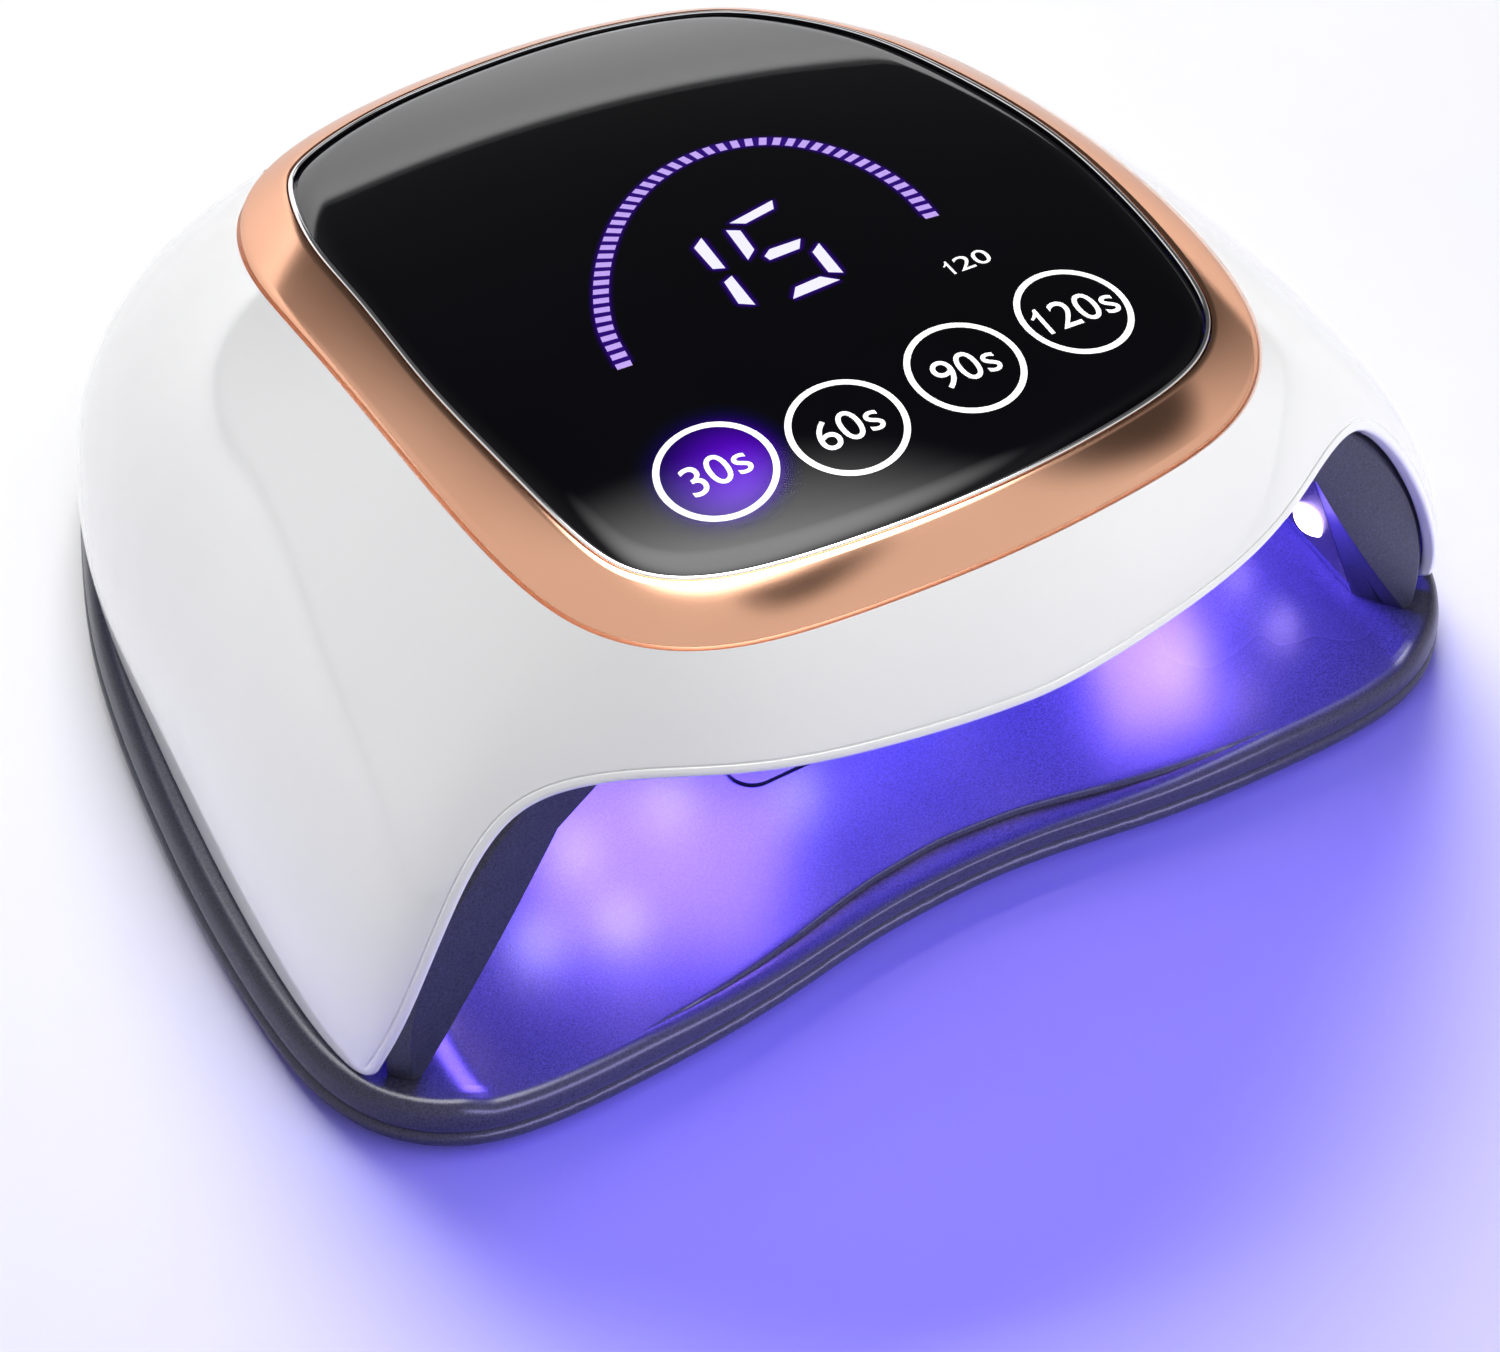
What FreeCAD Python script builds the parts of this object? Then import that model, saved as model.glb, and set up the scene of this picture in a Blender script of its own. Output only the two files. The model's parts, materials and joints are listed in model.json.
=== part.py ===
import FreeCAD, Part
import math
import os
from FreeCAD import Matrix, Placement, Rotation, Vector

os.makedirs("parts", exist_ok=True)

# UV curing lamp for gel and resin: a magnetic tray and a lift-off lamp head.
# Millimetres, +Z up. X is left to right and the open mouth faces -Y. The origin is on
# the table under the middle of the lamp. Left and right are mirror images.

# ---------------------------------------------------------------- driving dimensions
FAR = 160.0                 # reaches past every face of the lamp
TRAY_BOTTOM_Z = 1.0         # underside of the tray, on its feet
TRAY_SPLIT_Z = 5.6          # joint between the tray's two halves
TRAY_TOP_Z = 12.0           # rim that the head rests on
TRAY_FLOOR_Z = 11.0         # dished floor that the hand lies on
FRONT_LEDGE_Z = 9.9         # ledge in front of the floor, at the notch
REST_GAP = 0.1              # between the tray's rim and the head
HEAD_Z = TRAY_TOP_Z + REST_GAP
FLANGE_TOP_Z = HEAD_Z + 3.2     # parts that stand on the head's flange start here

CREST_Y = -55.0             # the top is highest here
CREST_Z = 98.3              # height of the glass at its crest
BOW_X = 0.0016              # fall of the top per square mm sideways
BOW_Y = 0.0024              # fall of the top per square mm fore and aft

WALL = 2.6                  # thickness of the white cover
BAND_DROP = 4.0             # outer edge of the trim ring under the glass level
SEAT_DROP = 5.8             # floor of the pocket that holds ring and glass
GLASS_THICK = 2.2
FIT = 0.15                  # gap all round between fitted covers

CAVITY_FOOT = (92.0, 11.0)      # half width and height of the cavity's foot
CAVITY_HIP = (74.5, 54.0)       # where the side meets the shoulder
CAVITY_ROOF = (61.0, 65.5)      # where the shoulder meets the roof
CAVITY_REAR_Y = 72.0
SLOPE_START_Y = 5.0             # the rear of the roof falls from here
SLOPE_FALL = 0.42               # fall per mm
REFLECTOR_FRONT_Y = -71.7
REAR_CORNER = ((89.0, 20.0), (51.5, 72.0))     # the cavity's rear corners are cut along here
REFLECTOR_THICK = 1.2
REFLECTOR_GAP = 0.3             # behind the reflector, to the LED boards
BOARD_THICK = 1.2
RIVET_RADIUS = 1.5
LENS_RADIUS = 3.6
LENS_PROUD = 0.8                # straight part of a lens in front of the reflector
LENS_DOME = 4.6                 # radius of a lens's domed end
LENS_PLAY = 0.25                # round a lens in its hole
MOUTH_FRAME_REAR_Y = -72.0
FLARE_FRONT_Y = -82.0           # the mouth opens out to here in front of the reflector
FLARE_FOOT = (100.2, 11.0)
FLARE_HIP = (68.3, 60.2)
FLARE_ROOF = (61.0, 66.3)
FLARE_WALL = 2.2
PLATE_LOW_Y = -79.3             # front face of the mouth's plate at the foot
PLATE_HIGH_Y = -76.2            # and at its top
PLATE_THICK = 3.0
FLANGE_THICK = 3.0              # plate that the head stands on

HANDLE_HALF = 38.0              # half width of the carry handle
HANDLE_ARM = 7.0                # width of its arms
HANDLE_DEPTH = 4.9
PIVOT_Z = 24.0
PIVOT_Y = 93.4
PIN_RADIUS = 1.25
PIN_CLEARANCE = 0.06
PIN_REACH = 9.3                 # from the inside of an arm into the rear cover
RECESS_DEPTH = 5.9
RECESS_PLAY = 0.7               # beside the handle in its recess
FINGER_GAP_Z = 37.5             # underside of the handle's grip
WINDOW_HALF = 40.6              # half width of the opening for the rear cover
WINDOW_LOW_Z = 17.6
WINDOW_TOP_Z = 62.0
REAR_START_Y = 60.0             # nothing of the rear opening lies in front of this
VENT_COUNT = 7
VENT_PITCH = 7.0
VENT_WIDTH = 2.4
VENT_HEIGHT = 10.0

SCREW_PLACES = [(99.0, -6.0), (-99.0, -6.0), (74.0, 66.0), (-74.0, 66.0)]
POST_RADIUS = 3.4
POST_HEIGHT = 24.0
PILOT_RADIUS = 1.3              # bore that a head screw bites into
PILOT_DEPTH = 14.0
SCREW_CLEARANCE = 1.7           # radius of the hole round a shank
SCREW_SINK_RADIUS = 3.0
SCREW_SINK_DEPTH = 1.7
HEAD_RADIUS = 2.8
HEAD_HEIGHT = 1.5
SHANK_RADIUS = 1.25

MAGNET_PLACES = [(99.0, -50.0), (-99.0, -50.0), (46.0, 84.0), (-46.0, 84.0)]
MAGNET_RADIUS = 4.0
MAGNET_THICK = 2.1
MAGNET_PLAY = 0.1

JACK_X = 62.0
JACK_Z = 25.0
JACK_BACK_Y = 76.5
JACK_RADIUS = 5.0
JACK_BORE = 3.2
JACK_PIN = 1.0
JACK_WALL = 2.0                 # blind end of the socket
JACK_RIM = 0.4                  # rim lies this far inside the cover's outer face

GLASS_INSET = 1.1               # from the ring's inner edge to the glass
FRAME_WIDTH = 4.4               # carrier under the rim of the glass
SHELF_INSET = 7.0               # opening in the cover under the glass
BOARD_CENTRE = (0.0, -25.0, 82.3)
BOARD_SLOPE_Y = 30.0            # the control board has the tilt of the top this far back
KEY_PLACES = [(-34.5, -57.0), (-11.5, -58.5), (11.5, -58.5), (34.5, -57.0)]
PAD_RADIUS = 3.6
PAD_GAP = 0.15                  # above and below a contact pad
DISPLAY_HEIGHT = 5.5
GAUGE_RADIUS = 34.0
GAUGE_DEPTH = 2.0

DRIVER_Y = 76.0
DRIVER_THICK = 1.6
COIL_RADIUS = 4.0

TRAY_SCREW_PLACES = [(84.0, -38.0), (-84.0, -38.0), (66.0, 56.0), (-66.0, 56.0)]
FOOT_PLACES = [(88.0, -66.0), (-88.0, -66.0), (58.0, 74.0), (-58.0, 74.0)]
FOOT_RADIUS = 6.0
FOOT_SINK = 0.8                 # depth of a rubber foot's seat
TRAY_WALL = 5.0
TRAY_SKIN = 2.2
FLOOR_SKIN = 2.6
MAGNET_COVER = 1.0              # skin of the tray over its magnets
INLAY_HALF = 24.0
INLAY_FRONT_Y = -56.0
INLAY_REAR_Y = 10.0
INLAY_CORNER = 5.0
INLAY_SEAT = 0.8
INLAY_PROUD = 0.2

# Stations round the head, right half, from the middle of the front to the middle of
# the rear: trim ring's outer edge, bottom edge (in front of the feet the bottom edge
# is only a guide, because the mouth is cut there), and bulge angle of the side.
STATIONS = [
    ((0, -88.4), (0, -117.5), 58),
    ((24, -86.8), (31, -114.5), 58),
    ((42, -83), (56, -107.5), 58),
    ((54, -76.5), (78, -95.5), 56),
    ((61.5, -67.5), (96, -84.5), 54),
    ((65.5, -56), (105.5, -75.5), 48),
    ((67.3, -40), (108.2, -56), 40),
    ((67.4, -18), (107, -28), 34),
    ((66.2, 6), (103.8, 2), 30),
    ((64.8, 24), (99.8, 29), 30),
    ((62, 43), (93, 53), 32),
    ((55, 62), (82, 74), 36),
    ((43, 76), (63, 90), 42),
    ((24, 84.5), (34, 97.5), 46),
    ((0, 87), (0, 99.2), 48),
]

RING_HALF = [station[0] for station in STATIONS]

# Inner edge of the trim ring, right half.
GLASS_HALF = [
    (0, -79.6), (24, -77.7), (42, -73.2), (52, -66), (56.5, -54), (58.5, -32), (58.7, -10),
    (56.5, 14), (53.5, 37), (47, 58), (38, 69.5), (20, 76.5), (0, 78),
]

# Edge of the tray, right half: two lobes in front with a notch between them.
TRAY_HALF = [
    (0, -87), (18, -88), (34, -90.3), (48, -91.8), (62, -92.5), (78, -92.5), (92, -90.2),
    (103, -83.5), (110, -72), (112.5, -54), (111.8, -28), (108.6, 0), (102.6, 29), (93, 54),
    (81, 76), (62, 92), (35, 100.5), (0, 102.5),
]

# Edge of the tray's dished floor, right half. It runs out over the front.
SCOOP_HALF = [
    (0, -112), (30, -112), (60, -110), (82, -104), (91, -92), (92.5, -76), (90, -50),
    (88, 0), (84, 30), (66, 58), (30, 66), (0, 67),
]

# Front edge of the floor, right half: it steps down to the ledge behind the notch.
STEP_HALF = [(0, -80.5), (14, -81.8), (30, -85), (46, -88), (60, -90), (84, -93.5)]

# Rounded edges of the tray: inset and height of its outline, from low to high.
TOP_LEVELS = [
    (1.2, TRAY_SPLIT_Z), (0.4, 6.8), (0.6, 9.0), (1.3, 10.8), (2.6, 11.8), (3.6, TRAY_TOP_Z),
]
BOTTOM_LEVELS = [
    (2.6, TRAY_BOTTOM_Z), (0.7, 2.2), (0.0, 3.6), (0.5, 5.1), (1.2, TRAY_SPLIT_Z - REST_GAP),
]

# Arch of the mouth seen from the front, right half, from the crown down to the foot.
MOUTH_HALF = [
    (0, 73.5), (30, 74.2), (55, 74), (69, 71.8), (79, 66.8), (87, 57.5), (94, 44.5),
    (100, 29.5), (104.3, 16), (105.2, 8),
]


# ---------------------------------------------------------------- small helpers
def save(name, shape):
    """Write one sub-part, and say what it is made of."""
    solids = shape.Solids
    body = solids[0] if len(solids) == 1 else Part.makeCompound(solids)
    body.exportStep("parts/" + name + ".step")
    print(name, len(solids), "solid(s)", round(sum(s.Volume for s in solids)), "mm3", body.isValid())
    return body


def largest(shape):
    """The body of a shape, without slivers that a cut leaves behind."""
    return max(shape.Solids, key=lambda solid: solid.Volume)


def box(x0, x1, y0, y1, z0, z1):
    return Part.makeBox(x1 - x0, y1 - y0, z1 - z0, Vector(x0, y0, z0))


def rod(centre, axis, radius, length):
    return Part.makeCylinder(radius, length, Vector(*centre), Vector(*axis))


def mirrored(half):
    """Full loop of points from a right half that starts and ends on the middle line."""
    return list(half) + [(-x, y) for x, y in reversed(half[1:-1])]


def inset_loop(points, inset):
    """Move each point of a counter-clockwise loop inwards, square to the loop."""
    moved = []
    count = len(points)
    for i, (x, y) in enumerate(points):
        before = points[i - 1]
        after = points[(i + 1) % count]
        along_x = after[0] - before[0]
        along_y = after[1] - before[1]
        length = math.hypot(along_x, along_y)
        moved.append((x - along_y / length * inset, y + along_x / length * inset))
    return moved


def loop_wire(points):
    """Smooth closed wire through 3-D points, evenly spaced in its parameter."""
    curve = Part.BSplineCurve()
    steps = [i / len(points) for i in range(len(points) + 1)]
    curve.interpolate(Points=points, PeriodicFlag=True, Parameters=steps)
    return Part.Wire(curve.toShape())


def ruled(lower, upper):
    """Straight band between two loops of points."""
    return Part.makeRuledSurface(loop_wire(lower).Edges[0], loop_wire(upper).Edges[0])


def flat_wire(points, z):
    return loop_wire([Vector(x, y, z) for x, y in points])


def plate(half, inset, z0, z1):
    """Prism with a smooth outline."""
    face = Part.Face(flat_wire(inset_loop(mirrored(half), inset), z0))
    return face.extrude(Vector(0, 0, z1 - z0))


def stack(half, levels):
    """Solid with rounded edges: the same outline at several heights and insets."""
    loop = mirrored(half)
    wires = [flat_wire(inset_loop(loop, inset), z) for inset, z in levels]
    return Part.makeLoft(wires, True)


def deck_z(x, y):
    """Height of the lamp's bowed top."""
    return CREST_Z - BOW_X * x * x - BOW_Y * (y - CREST_Y) ** 2


def deck_face(drop):
    """The bowed top as one exact quadratic patch, lowered by drop."""
    rise_x = BOW_X * FAR * FAR
    rise_y = BOW_Y * FAR * FAR
    poles = []
    for i in range(3):
        row = []
        for j in range(3):
            z = CREST_Z - drop + (rise_x if i == 1 else -rise_x) + (rise_y if j == 1 else -rise_y)
            row.append(Vector((i - 1) * FAR, CREST_Y + (j - 1) * FAR, z))
        poles.append(row)
    patch = Part.BezierSurface()
    patch.increase(2, 2)
    for i in range(3):
        for j in range(3):
            patch.setPole(i + 1, j + 1, poles[i][j])
    return patch.toShape()


def above_deck(drop):
    return deck_face(drop).extrude(Vector(0, 0, FAR))


def deck_slab(drop, thickness):
    return deck_face(drop).extrude(Vector(0, 0, -thickness))


# ---------------------------------------------------------------- outer form of the head
def hull_blank(inset, skirt):
    """Outer form of the head, moved inwards by inset, before its top is cut.

    A skirt carries the bottom edge straight down, so that the form cuts right through.
    """
    tops = inset_loop(mirrored([s[0] for s in STATIONS]), inset)
    feet = inset_loop(mirrored([s[1] for s in STATIONS]), inset)
    bulges = [s[2] for s in STATIONS] + [s[2] for s in reversed(STATIONS[1:-1])]
    sections = 9
    over = 1.16             # the side runs on past the ring's edge, to be cut there
    rings = []
    for k in range(sections):
        ring = []
        for top, foot, bulge in zip(tops, feet, bulges):
            limit = math.radians(bulge)
            angle = limit * over * k / (sections - 1)
            out = (math.cos(angle) - math.cos(limit)) / (1 - math.cos(limit))
            up = math.sin(angle) / math.sin(limit)
            top_z = deck_z(*top) - BAND_DROP - inset
            ring.append(Vector(top[0] + (foot[0] - top[0]) * out,
                               top[1] + (foot[1] - top[1]) * out,
                               HEAD_Z + (top_z - HEAD_Z) * up))
        rings.append(ring)
    lid = [Vector(p.x, p.y, CREST_Z + 20) for p in rings[-1]]
    hem = [Vector(p.x, p.y, HEAD_Z - skirt) for p in rings[0]]
    side = Part.makeLoft([loop_wire(ring) for ring in rings], False)
    faces = side.Faces + ruled(rings[-1], lid).Faces + [Part.Face(loop_wire(lid))]
    if skirt > 0:
        faces += ruled(hem, rings[0]).Faces
    faces.append(Part.Face(loop_wire(hem)))
    shell = Part.makeShell(faces)
    shell.sewShape()
    solid = Part.makeSolid(Part.Shell(shell.Faces))
    if solid.Volume < 0:
        solid.reverse()
    return solid


def hull(inset, skirt=0):
    return hull_blank(inset, skirt).cut(above_deck(BAND_DROP + inset))


def mouth_prism():
    """Everything inside the arch of the mouth, in front of the foot tips."""
    crown_to_foot = [Vector(x, -FAR, z) for x, z in MOUTH_HALF]
    left = [Vector(-p.x, p.y, p.z) for p in reversed(crown_to_foot[1:])]
    arch = Part.BSplineCurve()
    arch.interpolate(left + crown_to_foot)
    sill = Part.LineSegment(crown_to_foot[-1], left[0])
    face = Part.Face(Part.Wire([arch.toShape(), sill.toShape()]))
    return face.extrude(Vector(0, FAR - 60.0, 0))


# ---------------------------------------------------------------- inner form of the head
def cavity(grow, front_y, floor_z):
    """The room for the hand: an arch with a falling rear, grown outwards by grow."""
    foot_x = CAVITY_FOOT[0] + grow * 1.08
    slope = (CAVITY_FOOT[0] - CAVITY_HIP[0]) / (CAVITY_HIP[1] - CAVITY_FOOT[1])
    foot_x += (CAVITY_FOOT[1] - floor_z) * slope
    hip = (CAVITY_HIP[0] + grow * 0.98, CAVITY_HIP[1] + grow * 0.36)
    roof = (CAVITY_ROOF[0] + grow * 0.34, CAVITY_ROOF[1] + grow)
    right = [(foot_x, floor_z), hip, roof]
    points = right + [(-x, z) for x, z in reversed(right)]
    corners = [Vector(x, front_y, z) for x, z in points]
    face = Part.Face(Part.makePolygon(corners + corners[:1]))
    arch = face.extrude(Vector(0, CAVITY_REAR_Y + grow - front_y, 0))
    return arch.cut(rear_slope(grow)).cut(rear_corner(1, grow)).cut(rear_corner(-1, grow))


def rear_slope(grow):
    """Wedge above the falling rear of the roof."""
    z0 = CAVITY_ROOF[1] + grow
    y0 = SLOPE_START_Y + grow * 0.2
    run = FAR - y0
    outline = [
        Vector(-FAR, y0, z0), Vector(-FAR, FAR, z0 - run * SLOPE_FALL),
        Vector(-FAR, FAR, FAR), Vector(-FAR, y0, FAR),
    ]
    return Part.Face(Part.makePolygon(outline + outline[:1])).extrude(Vector(2 * FAR, 0, 0))


def rear_corner(side, grow):
    """Wedge that cuts a rear corner of the cavity at an angle."""
    near, far = [(side * (x + grow), y + grow) for x, y in REAR_CORNER]
    plan = [near, far, (far[0], FAR), (side * FAR, FAR), (side * FAR, near[1])]
    outline = [Vector(x, y, -1) for x, y in plan]
    return Part.Face(Part.makePolygon(outline + outline[:1])).extrude(Vector(0, 0, FAR))


def section(corners, y, grow=0.0):
    """Six-sided arch in an upright plane, from its right half, grown outwards."""
    foot, hip, roof = corners
    right = [(foot[0] + grow * 1.08, foot[1]), (hip[0] + grow * 0.98, hip[1] + grow * 0.36),
             (roof[0] + grow * 0.34, roof[1] + grow)]
    outline = [Vector(x, y, z) for x, z in right]
    outline += [Vector(-x, y, z) for x, z in reversed(right)]
    return Part.makePolygon(outline + outline[:1])


def flare(grow):
    """The mouth in front of the reflector: it opens out towards the front."""
    inner = (CAVITY_FOOT, CAVITY_HIP, CAVITY_ROOF)
    outer = (FLARE_FOOT, FLARE_HIP, FLARE_ROOF)
    ends = [section(inner, MOUTH_FRAME_REAR_Y, grow), section(outer, FLARE_FRONT_Y, grow)]
    return Part.makeLoft(ends, True, True)


def facet(origin, along, up):
    """Placement of a flat board: x along, y up the facet, z out of it into the cavity."""
    x_axis = Vector(*along).normalize()
    y_axis = Vector(*up).normalize()
    z_axis = x_axis.cross(y_axis)
    matrix = Matrix(x_axis.x, y_axis.x, z_axis.x, origin[0],
                    x_axis.y, y_axis.y, z_axis.y, origin[1],
                    x_axis.z, y_axis.z, z_axis.z, origin[2],
                    0, 0, 0, 1)
    return Placement(matrix)


SIDE_MID_Y = -28.0
SIDE_MID_X = (CAVITY_FOOT[0] + CAVITY_HIP[0]) / 2
SIDE_MID_Z = (CAVITY_FOOT[1] + CAVITY_HIP[1]) / 2 + 1.5
SIDE_LEAN = (CAVITY_FOOT[0] - CAVITY_HIP[0], CAVITY_HIP[1] - CAVITY_FOOT[1])
SLOPE_MID_Y = 37.0
SLOPE_MID_Z = CAVITY_ROOF[1] - (SLOPE_MID_Y - SLOPE_START_Y) * SLOPE_FALL

# name: placement on the cavity's skin, board length and width, lens columns and rows
LED_FIELDS = {
    "left": (facet((-SIDE_MID_X, SIDE_MID_Y, SIDE_MID_Z), (0, 1, 0), (SIDE_LEAN[0], 0, SIDE_LEAN[1])),
             84.0, 34.0, 6, 2),
    "right": (facet((SIDE_MID_X, SIDE_MID_Y, SIDE_MID_Z), (0, -1, 0), (-SIDE_LEAN[0], 0, SIDE_LEAN[1])),
              84.0, 34.0, 6, 2),
    "roof": (facet((0, -32, CAVITY_ROOF[1]), (1, 0, 0), (0, -1, 0)),
             100.0, 58.0, 5, 3),
    "rear": (facet((0, SLOPE_MID_Y, SLOPE_MID_Z), (1, 0, 0), (0, -1, SLOPE_FALL)),
             84.0, 42.0, 4, 2),
}


def lens_places(length, width, columns, rows):
    """Centres of a board's lenses in its own plane."""
    pitch_x = length / columns
    pitch_y = width / rows
    for column in range(columns):
        for row in range(rows):
            yield (column - (columns - 1) / 2) * pitch_x, (row - (rows - 1) / 2) * pitch_y


def led_board(field):
    """Aluminium board behind the reflector, with a hole at each end for its rivets."""
    placement, length, width, columns, rows = LED_FIELDS[field]
    back = -(REFLECTOR_THICK + REFLECTOR_GAP + BOARD_THICK)
    board = box(-length / 2, length / 2, -width / 2, width / 2, back, back + BOARD_THICK)
    for end in (-1, 1):
        rivet = (end * (length / 2 - 2 * RIVET_RADIUS), 0, back - 1)
        board = board.cut(rod(rivet, (0, 0, 1), RIVET_RADIUS, BOARD_THICK + 2))
    board.Placement = placement
    return board


def led_lenses(field):
    """One bead per LED: a straight barrel through the reflector with a domed end."""
    placement, length, width, columns, rows = LED_FIELDS[field]
    back = -(REFLECTOR_THICK + REFLECTOR_GAP)
    dome_drop = math.sqrt(LENS_DOME ** 2 - LENS_RADIUS ** 2)
    beads = []
    for x, y in lens_places(length, width, columns, rows):
        barrel = rod((x, y, back), (0, 0, 1), LENS_RADIUS, LENS_PROUD - back)
        dome = Part.makeSphere(LENS_DOME, Vector(x, y, LENS_PROUD - dome_drop))
        cap = dome.common(rod((x, y, LENS_PROUD), (0, 0, 1), LENS_RADIUS, LENS_DOME))
        bead = barrel.fuse(cap)
        bead.Placement = placement
        beads.append(bead)
    return Part.makeCompound(beads)


def lens_holes(field):
    placement, length, width, columns, rows = LED_FIELDS[field]
    holes = []
    for x, y in lens_places(length, width, columns, rows):
        hole = rod((x, y, -LENS_DOME), (0, 0, 1), LENS_RADIUS + LENS_PLAY, 2 * LENS_DOME)
        hole.Placement = placement
        holes.append(hole)
    return holes


def reflector():
    """Thin glossy dome with a hole for every lens."""
    skin = cavity(REFLECTOR_THICK, REFLECTOR_FRONT_Y, FLANGE_TOP_Z)
    skin = skin.cut(cavity(0, -FAR, 0))
    for field in LED_FIELDS:
        skin = skin.cut(lens_holes(field))
    return skin


# ---------------------------------------------------------------- covers of the head
def window_block(half, low_z):
    """Region of the rear opening, from the ring's edge down."""
    block = box(-half, half, REAR_START_Y, FAR, low_z, WINDOW_TOP_Z)
    return block.cut(plate(RING_HALF, -0.3, 0, FAR))


def top_cover():
    """White cover: thin all over, open below, at the mouth, at the rear and under the glass."""
    outer = hull(0)
    cover = outer.cut(hull(WALL, 2))
    cover = cover.cut(plate(RING_HALF, 4 * FIT, 0, FAR).common(above_deck(SEAT_DROP)))
    cover = cover.cut(mouth_prism())
    cover = cover.cut(plate(GLASS_HALF, SHELF_INSET, 0, FAR))
    cover = cover.cut(window_block(WINDOW_HALF, WINDOW_LOW_Z))
    cover = cover.cut(rod((JACK_X, REAR_START_Y, JACK_Z), (0, 1, 0), JACK_RADIUS + FIT, FAR))
    room = hull(1.0)
    for x, y in SCREW_PLACES:
        post = rod((x, y, FLANGE_TOP_Z + FIT), (0, 0, 1), POST_RADIUS, POST_HEIGHT).common(room)
        cover = cover.fuse(post)
        cover = cover.cut(rod((x, y, HEAD_Z), (0, 0, 1), PILOT_RADIUS, PILOT_DEPTH))
    return largest(cover)


def trim_ring():
    """Metallised ring: a bevel that falls outwards from the glass."""
    outer = inset_loop(mirrored(RING_HALF), 5 * FIT)
    inner = mirrored(GLASS_HALF)
    outer_edge = [Vector(x, y, deck_z(x, y) - BAND_DROP + 0.5) for x, y in outer]
    inner_edge = [Vector(x, y, deck_z(x, y) + 0.3) for x, y in inner]
    band = ruled(outer_edge, inner_edge)
    return band.extrude(Vector(0, 0, -14)).common(above_deck(SEAT_DROP))


def inner_bezel():
    """Narrow bright line between the ring and the glass."""
    rim = plate(GLASS_HALF, 0.1, 0, FAR).cut(plate(GLASS_HALF, GLASS_INSET - 0.1, -1, FAR + 1))
    return rim.common(deck_slab(-0.1, SEAT_DROP + 0.1))


def glass_panel():
    return plate(GLASS_HALF, GLASS_INSET, 0, FAR).common(deck_slab(0, GLASS_THICK))


def glass_frame():
    """Black carrier that the glass is bonded to."""
    inner = plate(GLASS_HALF, GLASS_INSET + FRAME_WIDTH, -1, FAR + 1)
    rim = plate(GLASS_HALF, GLASS_INSET, 0, FAR).cut(inner)
    return rim.common(deck_slab(GLASS_THICK, SEAT_DROP - GLASS_THICK))


def mouth_frame():
    """Dark frame behind the cover's edge: a plate with the flared mouth through it."""
    skin = hull(WALL + 2 * FIT)
    side = [(PLATE_LOW_Y, HEAD_Z), (PLATE_HIGH_Y, CAVITY_ROOF[1]), (PLATE_HIGH_Y, FAR)]
    side += [(y + PLATE_THICK, z) for y, z in reversed(side)]
    outline = [Vector(-FAR, y, z) for y, z in side]
    plate_block = Part.Face(Part.makePolygon(outline + outline[:1])).extrude(Vector(2 * FAR, 0, 0))
    behind_face = box(-FAR, FAR, PLATE_HIGH_Y + 0.5, MOUTH_FRAME_REAR_Y, HEAD_Z, FAR)
    frame = plate_block.fuse(flare(FLARE_WALL).common(behind_face)).common(skin)
    return largest(frame.cut(flare(0)))


def lower_housing():
    """Dark flange round the foot of the head, which it stands on."""
    skin = hull(WALL + 2 * FIT)
    low = box(-FAR, FAR, MOUTH_FRAME_REAR_Y + FIT, FAR, HEAD_Z, HEAD_Z + FLANGE_THICK)
    frame = skin.common(low).cut(cavity(0, -FAR, 0))
    for x, y in MAGNET_PLACES:
        seat = rod((x, y, HEAD_Z - 1), (0, 0, 1), MAGNET_RADIUS + MAGNET_PLAY, MAGNET_THICK + 1.1)
        frame = frame.cut(seat)
    for x, y in SCREW_PLACES:
        frame = frame.cut(rod((x, y, HEAD_Z - 1), (0, 0, 1), SCREW_CLEARANCE, 2 * FLANGE_THICK))
        frame = frame.cut(rod((x, y, HEAD_Z - 1), (0, 0, 1), SCREW_SINK_RADIUS, SCREW_SINK_DEPTH + 1))
    return largest(frame)


# ---------------------------------------------------------------- rear cover and handle
def rear_cover():
    """Black panel behind the ring, with a recess for the handle and slots for the air."""
    back_half = WINDOW_HALF + 3.0
    block = hull(WALL + 0.1).cut(hull(RECESS_DEPTH + 2.2, 2))
    block = block.common(box(-back_half, back_half, REAR_START_Y, FAR, FLANGE_TOP_Z, WINDOW_TOP_Z - 2))
    block = block.cut(plate(RING_HALF, 2.0, 0, FAR))
    sleeve = hull(0.2).cut(hull(WALL, 2))
    sleeve = sleeve.common(window_block(WINDOW_HALF - FIT, WINDOW_LOW_Z + FIT))
    cover = block.fuse(sleeve)
    recess_half = HANDLE_HALF + RECESS_PLAY
    recess = box(-recess_half, recess_half, REAR_START_Y, FAR, WINDOW_LOW_Z + 1.6, WINDOW_TOP_Z)
    recess = recess.cut(hull(RECESS_DEPTH, 4))
    recess = recess.cut(plate(RING_HALF, 0, 0, FAR))
    cover = cover.cut(recess)
    for i in range(VENT_COUNT):
        x = (i - (VENT_COUNT - 1) / 2) * VENT_PITCH
        half = VENT_WIDTH / 2
        cover = cover.cut(box(x - half, x + half, REAR_START_Y, FAR, PIVOT_Z, PIVOT_Z + VENT_HEIGHT))
    for side in (-1, 1):
        start = side * (HANDLE_HALF - HANDLE_ARM)
        cover = cover.cut(rod((start, PIVOT_Y, PIVOT_Z), (side, 0, 0), PIN_RADIUS, PIN_REACH))
    return largest(cover)


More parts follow.
